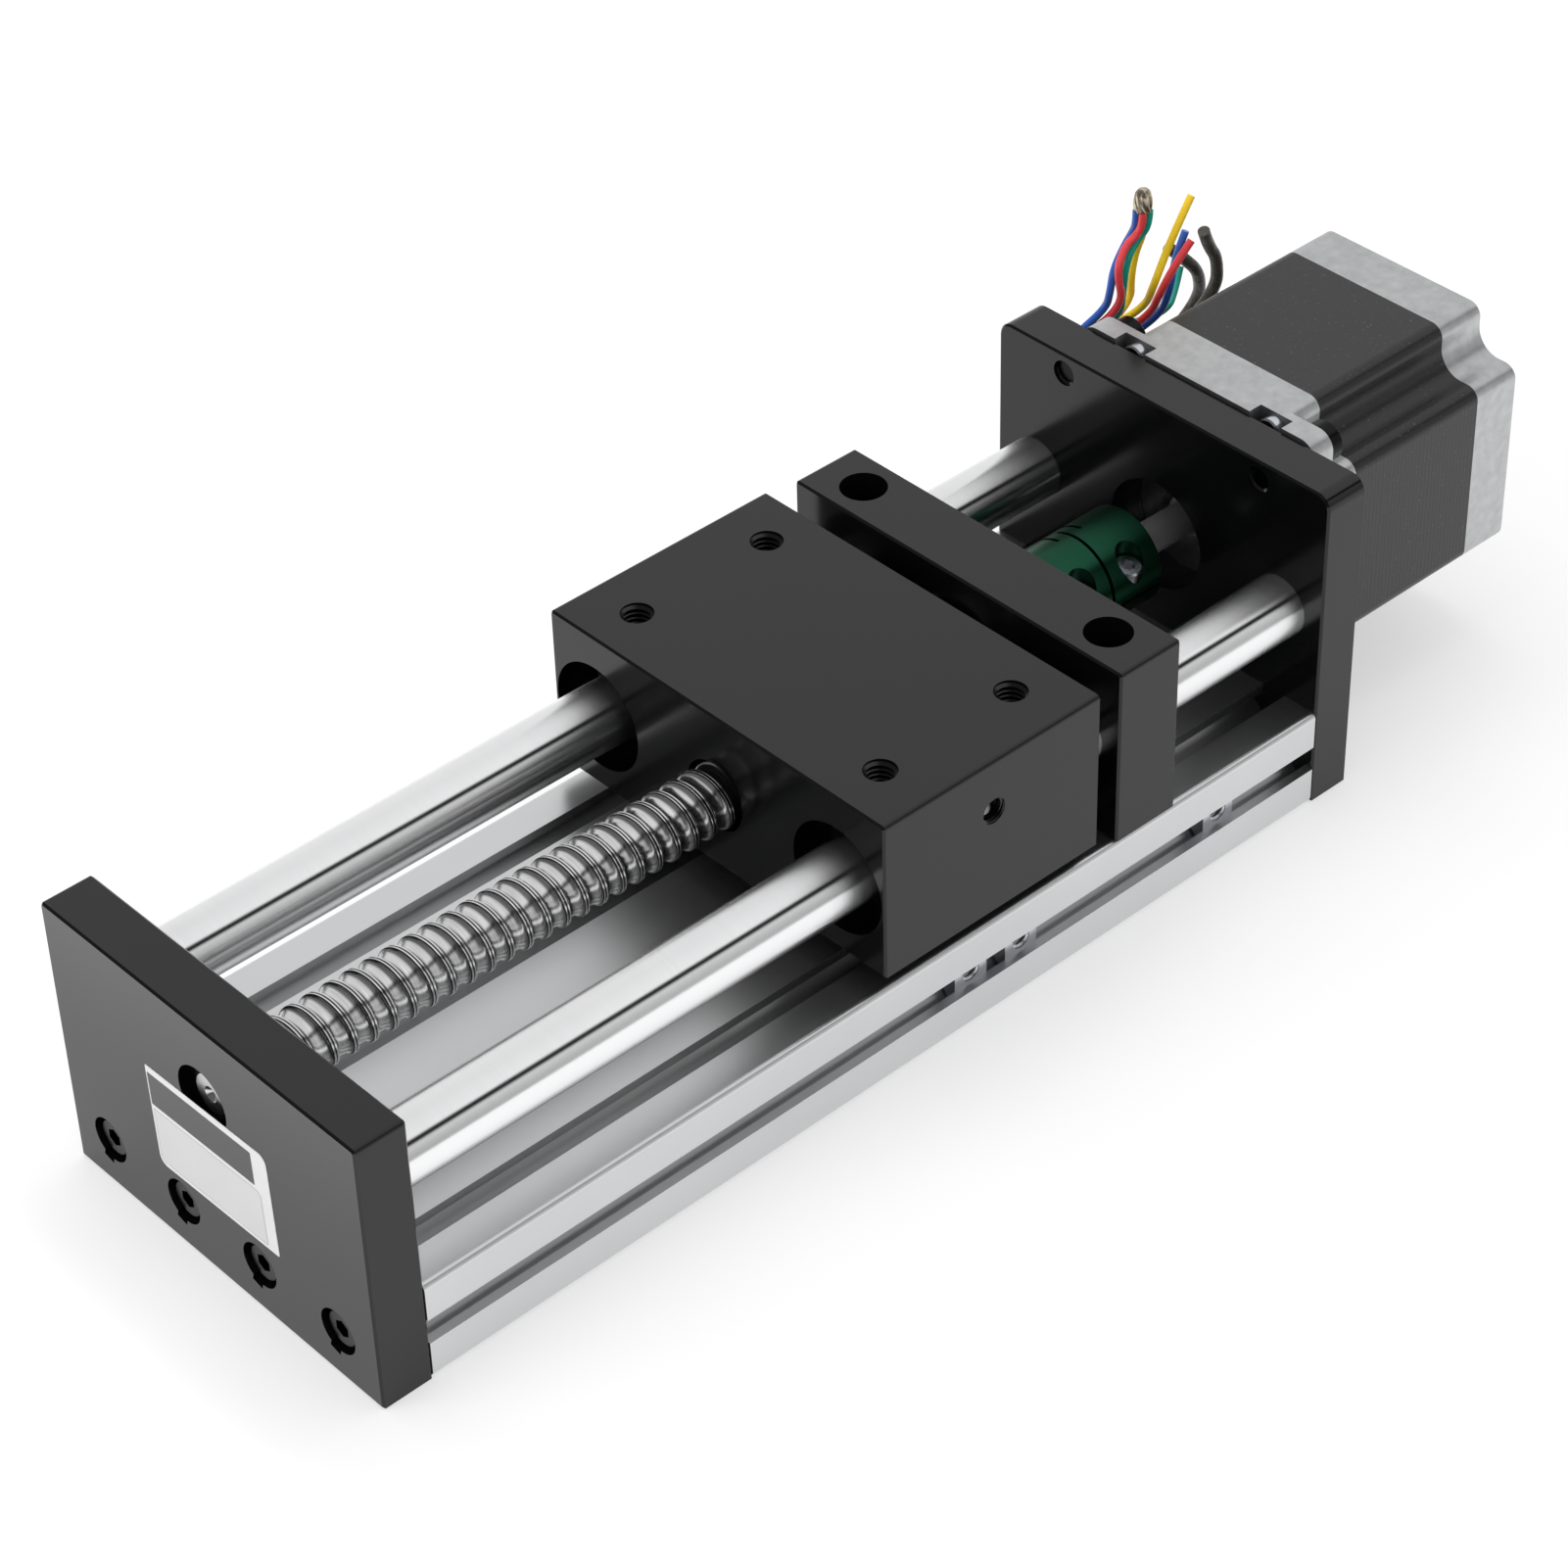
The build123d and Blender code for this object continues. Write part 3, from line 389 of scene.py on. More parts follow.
# %% [markdown]
# ## Black anodised aluminium
#
# The plates, the block and the carriage are milled aluminium with a black anodised skin: hard,
# clear aluminium oxide with black dye in its pores. It behaves as a dielectric of IOR about 1.5
# over black, so the colour stays dark and everything bright in the room is mirrored faintly in
# it, more strongly at a flat angle. The dyed pores swallow a little of that mirror image. The
# skin is smooth, with a cutter's grain of a quarter of a millimetre that only just shows.

# %% Black anodised aluminium
black_anodised, tree, output = new_material("black_anodised_aluminium")
grain = fine_noise(tree, 0.25 * MM)
cloud = fine_noise(tree, 30 * MM, 4.0)
gloss = add_node(tree, "ShaderNodeMapRange", {"Value": cloud, "To Min": 0.14, "To Max": 0.20})
oxide = {"Roughness": gloss.outputs["Result"], "IOR": 1.5, "Specular IOR Level": 0.42}
skin = textured_surface(tree, cloud, ("070708", "0B0B0C"), grain, 0.2, 0.01 * MM, oxide)
finish_with(tree, output, skin)
print("made", black_anodised.name)

# %% [markdown]
# ## Metals with a lay
#
# Every machined or drawn metal has a lay, the direction its fine lines run in. The base profile
# was pressed through a die and its lines run along X. The guide shafts and bearing rings were
# ground as they turned, so their lines run round X. One function draws them all: noise that is
# drawn out along the lay, used for a slight change of gloss and a very low relief. The real
# lines are some hundredths of a millimetre apart. They are drawn about a third of a millimetre
# apart, because finer ones wouldn't show. All are bare metal, so metallic is 1 and the base
# colour is the colour of the reflection itself.
#
# Ground lines also blur the mirror image across them, which is along the bar. So the image of
# a black plate fades softly into the bright shaft that ends in it. The function's last value
# sets how strong that blur is.


# %% Metals
def lined_metal(name, colours, roughness, line_pitch, line_along, line_height, ground=0.0):
    """Metal with fine lines; ground from 0 to 1 blurs its mirror image along the turned axis."""
    drawn_out = 0.004  # how much slower the noise changes along a line
    material, tree, output = new_material(name)
    squeeze = [drawn_out if axis in line_along else 1.0 for axis in "XYZ"]
    lines = fine_noise(tree, line_pitch, 2.0, squeeze)
    cloud = fine_noise(tree, 40 * MM)
    low, high = roughness
    gloss = add_node(tree, "ShaderNodeMapRange", {"Value": lines, "To Min": low, "To Max": high})
    bare = {"Metallic": 1.0, "Anisotropic": ground, "Anisotropic Rotation": 0.25}
    bare["Roughness"] = gloss.outputs["Result"]
    metal = textured_surface(tree, cloud, colours, lines, 0.3, line_height, bare)
    if ground:
        round_axis = add_node(tree, "ShaderNodeTangent", direction_type="RADIAL", axis="X")
        tree.links.new(round_axis.outputs["Tangent"], metal.inputs["Tangent"])
    finish_with(tree, output, metal)
    return material


natural_anodised = lined_metal(
    "natural_anodised_aluminium", ("D0D1D2", "DEDFE0"), (0.26, 0.36), 0.35 * MM, "X", 0.004 * MM
)
polished_chrome = lined_metal(
    "polished_hard_chrome", ("F4F5F6", "FBFBFC"), (0.21, 0.26), 0.3 * MM, "YZ", 0.0005 * MM, 1.0
)
ground_steel = lined_metal(
    "ground_bearing_steel", ("B4B4B6", "C4C4C6"), (0.20, 0.30), 0.3 * MM, "YZ", 0.002 * MM, 0.6
)
spring_steel = lined_metal(
    "oiled_spring_steel", ("3A3A3C", "4A4A4C"), (0.28, 0.38), 0.3 * MM, "YZ", 0.004 * MM
)
black_oxide = lined_metal(
    "black_oxide_steel", ("1A1A1B", "2A2A2B"), (0.22, 0.34), 0.3 * MM, "Z", 0.004 * MM
)
zinc_plate = lined_metal(
    "bright_zinc_plated_steel", ("C0C3C8", "D2D5D9"), (0.16, 0.28), 0.3 * MM, "Z", 0.004 * MM
)
turned_steel = lined_metal(
    "turned_rotor_steel", ("D8D8D8", "ECECEC"), (0.45, 0.60), 0.3 * MM, "YZ", 0.004 * MM
)
print("metals:", polished_chrome.name, ground_steel.name, zinc_plate.name)

# %% [markdown]
# The ball screw was rolled, so its track is streaked along the helix and a little duller. Its
# colour carries painted highlight and shade by height: the two rims of each land get a painted
# highlight, and the hollow between them and the shoulders outside them get painted shade. The
# height is the distance from the screw's axis, which a few nodes work out, and that axis is level
# with the guide shafts.

# %% Rolled steel of the ball screw
shaft_low, shaft_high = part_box("guide_shaft_left")
axis_z = ((shaft_low + shaft_high) / 2).z
rolled_steel, tree, output = new_material("polished_rolled_steel")
streaks = fine_noise(tree, 0.5 * MM, 3.0, (1.0, 0.06, 0.06))
place = add_node(tree, "ShaderNodeTexCoord")
from_axis = add_node(
    tree,
    "ShaderNodeVectorMath",
    {0: place.outputs["Object"], 1: (0, 0, axis_z)},
    operation="SUBTRACT",
)
across = add_node(
    tree, "ShaderNodeVectorMath", {0: from_axis.outputs[0], 1: (0, 1, 1)}, operation="MULTIPLY"
)
distance = add_node(tree, "ShaderNodeVectorMath", {0: across.outputs[0]}, operation="LENGTH")
height = add_node(
    tree,
    "ShaderNodeMapRange",
    {"Value": distance.outputs["Value"], "From Min": 5.0 * MM, "From Max": 6.0 * MM},
)
painted_light_by_height = add_node(tree, "ShaderNodeValToRGB", {0: height.outputs["Result"]})
# painted highlight and painted shade: bright on the lands' rims, dark in their hollow, on their
# shoulders and on the track's upper flanks
painted_light_stops = (
    # share of the way from the track's foot to the crest, grey there
    (0.10, "F0F0F0"),
    (0.62, "E4E4E4"),
    (0.84, "6A6A6A"),
    (0.94, "3C3C3C"),
    (0.97, "F0F0F0"),
    (0.99, "FFFFFF"),
)
painted_light_ramp = painted_light_by_height.color_ramp.elements
painted_light_ramp[0].position, painted_light_ramp[1].position = painted_light_stops[0][0], painted_light_stops[-1][0]
painted_light_ramp[0].color = hex_colour(painted_light_stops[0][1])
painted_light_ramp[1].color = hex_colour(painted_light_stops[-1][1])
for position, grey in painted_light_stops[1:-1]:
    painted_light_ramp.new(position).color = hex_colour(grey)
print("axis height", round(axis_z / MM, 2), "mm, wear marks:", len(painted_light_ramp))

# %% Streaks on the rolled steel, times its painted highlight and shade
gloss = add_node(tree, "ShaderNodeMapRange", {"Value": streaks, "To Min": 0.17, "To Max": 0.26})
rolled = {"Metallic": 1.0, "Roughness": gloss.outputs["Result"]}
screw_surface = textured_surface(
    tree, streaks, ("BEBEBE", "FFFFFF"), streaks, 0.2, 0.008 * MM, rolled
)
colour_input = screw_surface.inputs["Base Color"]
# the painted highlight and shade by height multiply the streaked colour
streaks_times_painted_light = add_node(
    tree,
    "ShaderNodeMix",
    {0: 1.0, 6: painted_light_by_height.outputs["Color"], 7: colour_input.links[0].from_socket},
    data_type="RGBA",
    blend_type="MULTIPLY",
)
tree.links.new(streaks_times_painted_light.outputs[2], colour_input)
finish_with(tree, output, screw_surface)
print("made", rolled_steel.name)

# %% [markdown]
# ## Green coupling
#
# The shaft coupling is turned aluminium with a green dye in its anodised skin. The skin is thin
# and clear and the metal shines through it, so it is metallic with a dark green reflection. Its
# turning marks run round it, drawn a quarter of a millimetre apart so that they show.

# %% Green anodised aluminium
green_anodised = lined_metal(
    "green_anodised_aluminium", ("1D4836", "265A42"), (0.28, 0.38), 0.25 * MM, "YZ", 0.004 * MM, 0.5
)
print("made", green_anodised.name)

# %% [markdown]
# ## The motor's castings and stack
#
# The motor's ends are die-cast aluminium, vibrated with stones until they are satin and milled
# where they meet the stack. That leaves a soft grey with the finest pits. The stack between
# them is made of half-millimetre sheets of silicon steel, pressed together and lacquered black.
# On its sides the sheets' edges show as fine upright lines. They are drawn a millimetre apart,
# one for each second sheet, because closer ones wouldn't show. The stack's top is smooth, with
# a few pale specks.

# %% Cast aluminium
cast_aluminium, tree, output = new_material("die_cast_aluminium")
pits = fine_noise(tree, 0.5 * MM, 6.0)
stain = fine_noise(tree, 2 * MM, 6.0)
gloss = add_node(tree, "ShaderNodeMapRange", {"Value": pits, "To Min": 0.32, "To Max": 0.50})
tumbled = {"Metallic": 1.0, "Roughness": gloss.outputs["Result"]}
casting = textured_surface(tree, stain, ("A8A9AA", "D2D3D4"), pits, 0.3, 0.03 * MM, tumbled)
finish_with(tree, output, casting)
print("made", cast_aluminium.name)

# %% Lines on the stack's sides
sheet_thickness = 0.5 * MM
line_pitch = 2 * sheet_thickness
wave_speed = 20  # radians that Blender's wave texture turns in a metre at a scale of 1
lacquered_stack, tree, output = new_material("black_lacquered_laminations")
place = add_node(tree, "ShaderNodeTexCoord")
sheets = add_node(
    tree,
    "ShaderNodeTexWave",
    {"Vector": place.outputs["Object"], "Scale": 2 * math.pi / (wave_speed * line_pitch)},
    wave_type="BANDS",
    bands_direction="X",
)
facing = add_node(tree, "ShaderNodeNewGeometry")
facing_parts = add_node(tree, "ShaderNodeSeparateXYZ", {0: facing.outputs["Normal"]})
upward = add_node(tree, "ShaderNodeMath", {0: facing_parts.outputs["Z"]}, operation="ABSOLUTE")
sideways = add_node(tree, "ShaderNodeMath", {0: 1.0, 1: upward.outputs[0]}, operation="SUBTRACT")
uneven = fine_noise(tree, 0.9 * MM, 4.0, (1.0, 0.04, 0.04))
layers = add_node(
    tree, "ShaderNodeMath", {0: sheets.outputs["Fac"], 1: 0.6, 2: uneven}, operation="MULTIPLY_ADD"
)
side_lines = add_node(
    tree, "ShaderNodeMath", {0: layers.outputs[0], 1: sideways.outputs[0]}, operation="MULTIPLY"
)
print("lines on the stack:", line_pitch / MM, "mm apart")

# %% Black lacquer
handling = fine_noise(tree, 0.45 * MM, 4.0)
specks = add_node(
    tree,
    "ShaderNodeMapRange",
    {"Value": handling, "From Min": 0.66, "From Max": 0.74, "To Min": 0.0, "To Max": 0.7},
)
relief = add_node(
    tree, "ShaderNodeMath", {0: side_lines.outputs[0], 1: handling}, operation="ADD"
)
varnish = {"Roughness": 0.34, "IOR": 1.5}
lacquer = textured_surface(
    tree, specks.outputs[0], ("131313", "6A6A6A"), relief.outputs[0], 0.4, 0.04 * MM, varnish
)
finish_with(tree, output, lacquer)
print("made", lacquered_stack.name)

# %% [markdown]
# ## Plastics, rubber, copper and solder
#
# The leads wear PVC, a soft and glossy plastic of IOR 1.53. The two dark sleeves are shrunk
# polyolefin, duller and slightly wrinkled. The grommet is moulded nylon, the bearing seals are
# nitrile rubber, and the coils behind them are enamelled copper. The tinned tip of the leads is
# a bundle of fine strands under solder, so its lay runs upright.


# %% Plastics, rubber, copper and solder
def plastic_material(name, dark, light, roughness, ior, grain, grain_height):
    """A moulded or extruded plastic or rubber with a faint surface grain."""
    material, tree, output = new_material(name)
    texture = fine_noise(tree, grain)
    bulk = {"Roughness": roughness, "IOR": ior}
    plastic = textured_surface(tree, texture, (dark, light), texture, 0.4, grain_height, bulk)
    finish_with(tree, output, plastic)
    return material


pvc_coat = (0.30, 1.53, 0.8 * MM, 0.01 * MM)  # roughness, IOR, grain and its height
blue_pvc = plastic_material("blue_pvc", "2A56AC", "3566C0", *pvc_coat)
red_pvc = plastic_material("red_pvc", "D83A42", "EC4A50", *pvc_coat)
green_pvc = plastic_material("green_pvc", "129480", "1CA892", *pvc_coat)
yellow_pvc = plastic_material("yellow_pvc", "F4C81A", "FFDA30", *pvc_coat)
shrink_sleeve = plastic_material(
    "polyolefin_sleeve", "35332E", "57544C", 0.36, 1.5, 1.6 * MM, 0.9 * MM
)
moulded_nylon = plastic_material(
    "moulded_nylon", "1C1C1C", "262626", 0.5, 1.53, 0.4 * MM, 0.02 * MM
)
nitrile_rubber = plastic_material(
    "nitrile_rubber", "141414", "1E1E1E", 0.6, 1.52, 0.3 * MM, 0.02 * MM
)
enamelled_copper = lined_metal(
    "enamelled_copper", ("8A4A22", "B4672F"), (0.25, 0.35), 0.4 * MM, "X", 0.05 * MM
)
tinned_strands = lined_metal(
    "tinned_strands", ("A08A5C", "F0EADC"), (0.22, 0.42), 0.8 * MM, "Z", 0.12 * MM
)
print("plastics:", blue_pvc.name, shrink_sleeve.name, moulded_nylon.name)

# %% [markdown]
# ## Giving the CAD parts their finish
#
# The frame's parts keep their meshes. Only the material in each slot changes. The ball screw,
# the leads and the leads' tip are missing from the list, because pieces made below stand for
# them.

# %% Finishes of the CAD parts
finishes = {
    "base_profile": natural_anodised,
    "front_plate": black_anodised,
    "front_plate_screws": black_oxide,
    "motor_plate": black_anodised,
    "motor_plate_screws": black_oxide,
    "guide_shaft_left": polished_chrome,
    "guide_shaft_right": polished_chrome,
    "bearing_block": black_anodised,
    "bearing_block_screws": black_oxide,
    "shaft_lock_screws": black_oxide,
    "slot_nuts": zinc_plate,
    "support_bearing_outer": ground_steel,
    "support_bearing_inner": ground_steel,
    "fixed_bearing_outers": ground_steel,
    "fixed_bearing_inners": ground_steel,
    "lock_nut": black_oxide,
    "carriage_block": black_anodised,
    "linear_bearing_left": ground_steel,
    "linear_bearing_right": ground_steel,
    "linear_bearing_seals": nitrile_rubber,
    "circlips": spring_steel,
    "ball_nut": ground_steel,
    "nut_screws": black_oxide,
    "coupling_body": green_anodised,
    "coupling_screws": zinc_plate,
    "motor_front_flange": cast_aluminium,
    "motor_stack": lacquered_stack,
    "motor_windings": enamelled_copper,
    "motor_rear_bell": cast_aluminium,
    "motor_bearing_outers": ground_steel,
    "motor_bearing_inners": ground_steel,
    "motor_rotor": turned_steel,
    "motor_bolts": black_oxide,
    "motor_case_screws": zinc_plate,
    "lead_grommet": moulded_nylon,
}
for name, material in finishes.items():
    mesh = nodes[name].data
    if not mesh.materials:
        mesh.materials.append(material)
    for slot_number in range(len(mesh.materials)):
        mesh.materials[slot_number] = material
print("finished", len(finishes), "CAD parts")

# %% [markdown]
# ## Pieces of our own
#
# Each piece made here rides on one body of the frame, so it moves with it in every pose.


# %% Adding a piece
weld_distance = 0.0001 * MM


def add_piece(name, vertices, faces, material, body, smooth=False):
    """A mesh piece in the frame's own coordinates, in metres."""
    mesh = bpy.data.meshes.new(name)
    mesh.from_pydata(vertices, [], faces)
    tidy = bmesh.new()
    tidy.from_mesh(mesh)
    bmesh.ops.remove_doubles(tidy, verts=tidy.verts, dist=weld_distance)
    tidy.to_mesh(mesh)
    tidy.free()
    for face in mesh.polygons:
        face.use_smooth = smooth
    mesh.materials.append(material)
    piece = bpy.data.objects.new(name, mesh)
    bpy.context.scene.collection.objects.link(piece)
    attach(piece, body)
    return piece


print("pieces weld points closer than", weld_distance / MM, "mm")

# %% [markdown]
# ## The ball screw
#
# The CAD model has the screw as a plain bar at its outer diameter. Here it gets its groove: a
# concave track 2.9 mm wide and 0.85 mm deep, where the balls run, between lands 1.1 mm wide. The
# lands' rims were rounded in the polishing and their middle is slightly hollow, which together with
# the painted highlight and shade in the steel's colour draws the pair of bright lines with a dark
# one between. The lead is 4 mm and the hand is right.
#
# The mesh follows the helix. One row of points draws the cross-section along one lead, and
# each row round the bar is shifted along by its share of the lead, so the rims stay sharp.

# %% The groove's shape
lead = 4.0 * MM
screw_radius = 6.0 * MM
land_width = 1.1 * MM
groove_depth = 0.72 * MM  # below the lands' rims
steepness = 0.8  # below 1 the track's flanks are steeper than half an ellipse
land_shape = (
    # share of the land's width, drop below the outer radius in mm
    (0.00, 0.13),
    (0.06, 0.05),
    (0.14, 0.01),
    (0.24, 0.00),
    (0.36, 0.04),
    (0.50, 0.07),
    (0.64, 0.04),
    (0.76, 0.00),
    (0.86, 0.01),
    (0.94, 0.05),
    (1.00, 0.13),
)
rim_drop = land_shape[-1][1] * MM
track_points = 14
track_middle = (land_width + lead) / 2
track_half = (lead - land_width) / 2
one_lead = [(share * land_width, screw_radius - drop * MM) for share, drop in land_shape]
for step in range(1, track_points):
    turn_angle = math.pi * step / track_points
    along = track_middle - track_half * math.cos(turn_angle)
    sink = groove_depth * math.sin(turn_angle) ** steepness
    one_lead.append((along, screw_radius - rim_drop - sink))
print("points along one lead:", len(one_lead))

# %% The threaded length
into_block = 2.5 * MM
thread_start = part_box("front_plate")[1].x
thread_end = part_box("bearing_block")[0].x + into_block
steps_round = 80
leads_long = math.ceil((thread_end - thread_start) / lead) + 2
first_angle = math.radians(250)  # where a land begins at the front plate
per_lead = len(one_lead)
rows = per_lead * leads_long
vertices = []
for turn_step in range(steps_round):
    angle = 2 * math.pi * turn_step / steps_round
    shift = lead * (angle - first_angle) / (2 * math.pi) - lead
    for row in range(rows):
        along, radius = one_lead[row % per_lead]
        x = thread_start + shift + along + lead * (row // per_lead)
        x = min(max(x, thread_start), thread_end)
        vertices.append((x, radius * math.cos(angle), axis_z + radius * math.sin(angle)))
faces = []
for turn_step in range(steps_round):
    # the last row meets the first one a whole lead further on
    last = turn_step == steps_round - 1
    here = turn_step * rows
    there = 0 if last else here + rows
    jump = per_lead if last else 0
    for row in range(rows - 1 - jump):
        faces.append((here + row, here + row + 1, there + row + 1 + jump, there + row + jump))
print("thread faces:", len(faces))

# %% Close the thread's ends
# faces that one of the two end planes has flattened are left out
end_places = {round(thread_start, 9), round(thread_end, 9)}
kept_faces = []
for face in faces:
    places = {round(vertices[corner][0], 9) for corner in face}
    if len(places) > 1 or not places & end_places:
        kept_faces.append(face)
thread = add_piece(
    "ball_screw_thread", vertices, kept_faces, rolled_steel, "screw", True
)
capped = bmesh.new()
capped.from_mesh(thread.data)
loose = [vertex for vertex in capped.verts if not vertex.link_faces]
bmesh.ops.delete(capped, geom=loose, context="VERTS")
rims = [edge for edge in capped.edges if edge.is_boundary]
caps = bmesh.ops.holes_fill(capped, edges=rims, sides=0)["faces"]
for cap in caps:
    cap.smooth = False
bmesh.ops.recalc_face_normals(capped, faces=capped.faces)
capped.to_mesh(thread.data)
capped.free()
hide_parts("ball_screw")
print("caps on the thread:", len(caps))


# %% The journals
def lathed(name, outline, material, body, steps=96):
    """A turned piece round the screw's axis, from (x, radius) points in metres."""
    points = []
    for x, radius in outline:
        for step in range(steps):
            angle = 2 * math.pi * step / steps
            points.append((x, radius * math.cos(angle), axis_z + radius * math.sin(angle)))
    bands = []
    for row in range(len(outline) - 1):
        for step in range(steps):
            after = (step + 1) % steps
            first, second = row * steps, (row + 1) * steps
            bands.append((first + step, second + step, second + after, first + after))
    piece = add_piece(name, points, bands, material, body, True)
    piece.data.set_sharp_from_angle(angle=math.radians(30))
    return piece


screw_low, screw_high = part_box("ball_screw")
lock_nut_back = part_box("lock_nut")[1].x
tip = screw_low.x
end_radius, bearing_radius = 4.0 * MM, 5.0 * MM
edge_break = 0.3 * MM
centre_drill = 1.5 * MM
pinpoint = 0.02 * MM  # the lathed faces close on this, just off the axis
lathed(
    "ball_screw_front_journal",
    [
        (tip + centre_drill, pinpoint),
        (tip, centre_drill),
        (tip, end_radius - edge_break),
        (tip + edge_break, end_radius),
        (thread_start, end_radius),
    ],
    ground_steel,
    "screw",
)
lathed(
    "ball_screw_rear_journals",
    [
        (thread_end, bearing_radius),
        (lock_nut_back, bearing_radius),
        (lock_nut_back, end_radius),
        (screw_high.x - edge_break, end_radius),
        (screw_high.x, end_radius - edge_break),
        (screw_high.x, pinpoint),
    ],
    ground_steel,
    "screw",
)
print("ball screw from", round(tip / MM, 2), "to", round(screw_high.x / MM, 2), "mm")

# %% [markdown]
# ## Threads in the holes
#
# The CAD model has its tapped holes at the thread's outer diameter. A ridge that winds down the
# wall gives each hole its thread: M6 in the carriage's top, M5 in its side and in the motor
# plate, and M4 in the slot nuts. The ridge fades in over the first quarter turn, as a real tap
# leaves it.


# %% A thread in a hole
def thread_ridge(name, mouth, inwards, size, material, body, slot_name):
    """A right-hand thread on a hole's wall; its size is the outer radius, depth and pitch."""
    outer_radius, depth, pitch = size
    inwards = Vector(inwards)
    side = inwards.orthogonal().normalized()
    other = inwards.cross(side)
    height = 0.58 * pitch
    run_out = 0.7 * pitch
    steps = 40
    turns = (depth - run_out) / pitch
    total = int(turns * steps)
    # shift along the hole in pitches, share of the height
    section = ((-0.46, 0.0), (-0.08, 1.0), (0.08, 1.0), (0.46, 0.0))
    points = []
    for step in range(total + 1):
        angle = 2 * math.pi * step / steps
        middle = 0.5 * pitch + pitch * step / steps
        fade = min(1.0, 4 * step / steps, 4 * (total - step) / steps)
        for shift, rise in section:
            radius = outer_radius - height * rise * fade
            spoke = side * math.cos(angle) + other * math.sin(angle)
            points.append(Vector(mouth) + inwards * (middle + shift * pitch) + spoke * radius)
    bands = []
    for step in range(total):
        for corner in range(len(section) - 1):
            first = step * len(section) + corner
            second = first + len(section)
            bands.append((first, second, second + 1, first + 1))
    return add_piece(name, points, bands, material, body)


# %% Threads of the carriage
m6_top = (3.0 * MM, 5.4 * MM, 1.0 * MM)  # outer radius, depth, pitch
m5_port = (2.5 * MM, 1.4 * MM, 0.5 * MM)
hole_along, hole_across = 15 * MM, 30 * MM
port_rise = 6.4 * MM
carriage_low, carriage_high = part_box("carriage_block")
carriage_middle = (carriage_low + carriage_high) / 2
carriage_finish = (black_anodised, "carriage", "black_plate")
made = 0
for x in (-hole_along, hole_along):
    for y in (-hole_across, hole_across):
        made += 1
        mouth = (carriage_middle.x + x, y, carriage_high.z)
        thread_ridge(f"carriage_thread_{made}", mouth, (0, 0, -1), m6_top, *carriage_finish)
port_mouth = (carriage_middle.x, carriage_low.y, axis_z + port_rise)
thread_ridge("carriage_port_thread", port_mouth, (0, 1, 0), m5_port, *carriage_finish)
print("threads in the carriage:", made + 1)

# %% Threads of the motor plate and the slot nuts
m5_plate = (2.5 * MM, 1.3 * MM, 0.8 * MM)
m4_nut = (2.0 * MM, 3.0 * MM, 0.7 * MM)
bolt_offset = 23.57 * MM
plate_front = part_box("motor_plate")[0].x
plate_finish = (black_anodised, "base", "black_plate")
for y in (-bolt_offset, bolt_offset):
    for z in (-bolt_offset, bolt_offset):
        made += 1
        mouth = (plate_front, y, axis_z + z)
        thread_ridge(f"motor_plate_thread_{made}", mouth, (1, 0, 0), m5_plate, *plate_finish)
module_front = cad_box[0][0]
slot_height = 10 * MM
nut_places = (129.7, 141.7, 191.0)  # millimetres from the module's front
nut_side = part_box("slot_nuts")[0].y
nut_finish = (zinc_plate, "base", "zinc_nut")
for number, from_front in enumerate(nut_places):
    mouth = (module_front + from_front * MM, nut_side, slot_height)
    thread_ridge(f"slot_nut_thread_{number + 1}", mouth, (0, 1, 0), m4_nut, *nut_finish)
print("threads made:", made + 1 + len(nut_places))

# %% [markdown]
# ## The sticker
#
# A white vinyl sticker sits on the front plate, put on a little crooked, and hides the lower
# part of the screw's hole. It is made bare: a dark grey band and a thin rounded border are all
# that is on it.

# %% Sticker
white_vinyl = plastic_material("white_vinyl", "ECECEC", "F4F4F4", 0.28, 1.5, 6 * MM, 0.01 * MM)
panel_vinyl = plastic_material("pale_grey_print", "DCDCDC", "E6E6E6", 0.28, 1.5, 9 * MM, 0.01 * MM)
grey_ink = plastic_material("dark_grey_print", "2A2A2B", "303031", 0.30, 1.5, 6 * MM, 0.005 * MM)
line_ink = plastic_material("grey_line_print", "A6A6A7", "B0B0B0", 0.30, 1.5, 6 * MM, 0.005 * MM)

sticker_middle = (-0.4 * MM, 26.35 * MM)
sticker_turn = math.radians(1.5)
corner_steps = 8
print("sticker stands", sticker_middle[1] / MM, "mm up")


# %% Layers of the sticker
def sticker_layer(name, left, right, bottom, top, corner_radii, front, back, material):
    """A flat layer of the sticker; sizes in mm from its middle, as seen from the front."""
    centres = (
        (right, top, corner_radii[0], 0),
        (left, top, corner_radii[1], 90),
        (left, bottom, corner_radii[2], 180),
        (right, bottom, corner_radii[3], 270),
    )
    outline = []
    for corner_x, corner_z, radius, start in centres:
        in_x = corner_x - math.copysign(radius, corner_x - (left + right) / 2)
        in_z = corner_z - math.copysign(radius, corner_z - (bottom + top) / 2)
        for step in range(corner_steps + 1):
            angle = math.radians(start + 90 * step / corner_steps)
            outline.append((in_x + radius * math.cos(angle), in_z + radius * math.sin(angle)))
    points = []
    for depth in (front, back):
        for across, rise in outline:
            turned_x = across * math.cos(sticker_turn) - rise * math.sin(sticker_turn)
            turned_z = across * math.sin(sticker_turn) + rise * math.cos(sticker_turn)
            y = sticker_middle[0] - turned_x * MM
            z = sticker_middle[1] + turned_z * MM
            points.append((module_front - depth * MM, y, z))
    count = len(outline)
    sides = [tuple(range(count)), tuple(reversed(range(count, 2 * count)))]
    for step in range(count):
        after = (step + 1) % count
        sides.append((step, count + step, count + after, after))
    return add_piece(name, points, sides, material, "base")


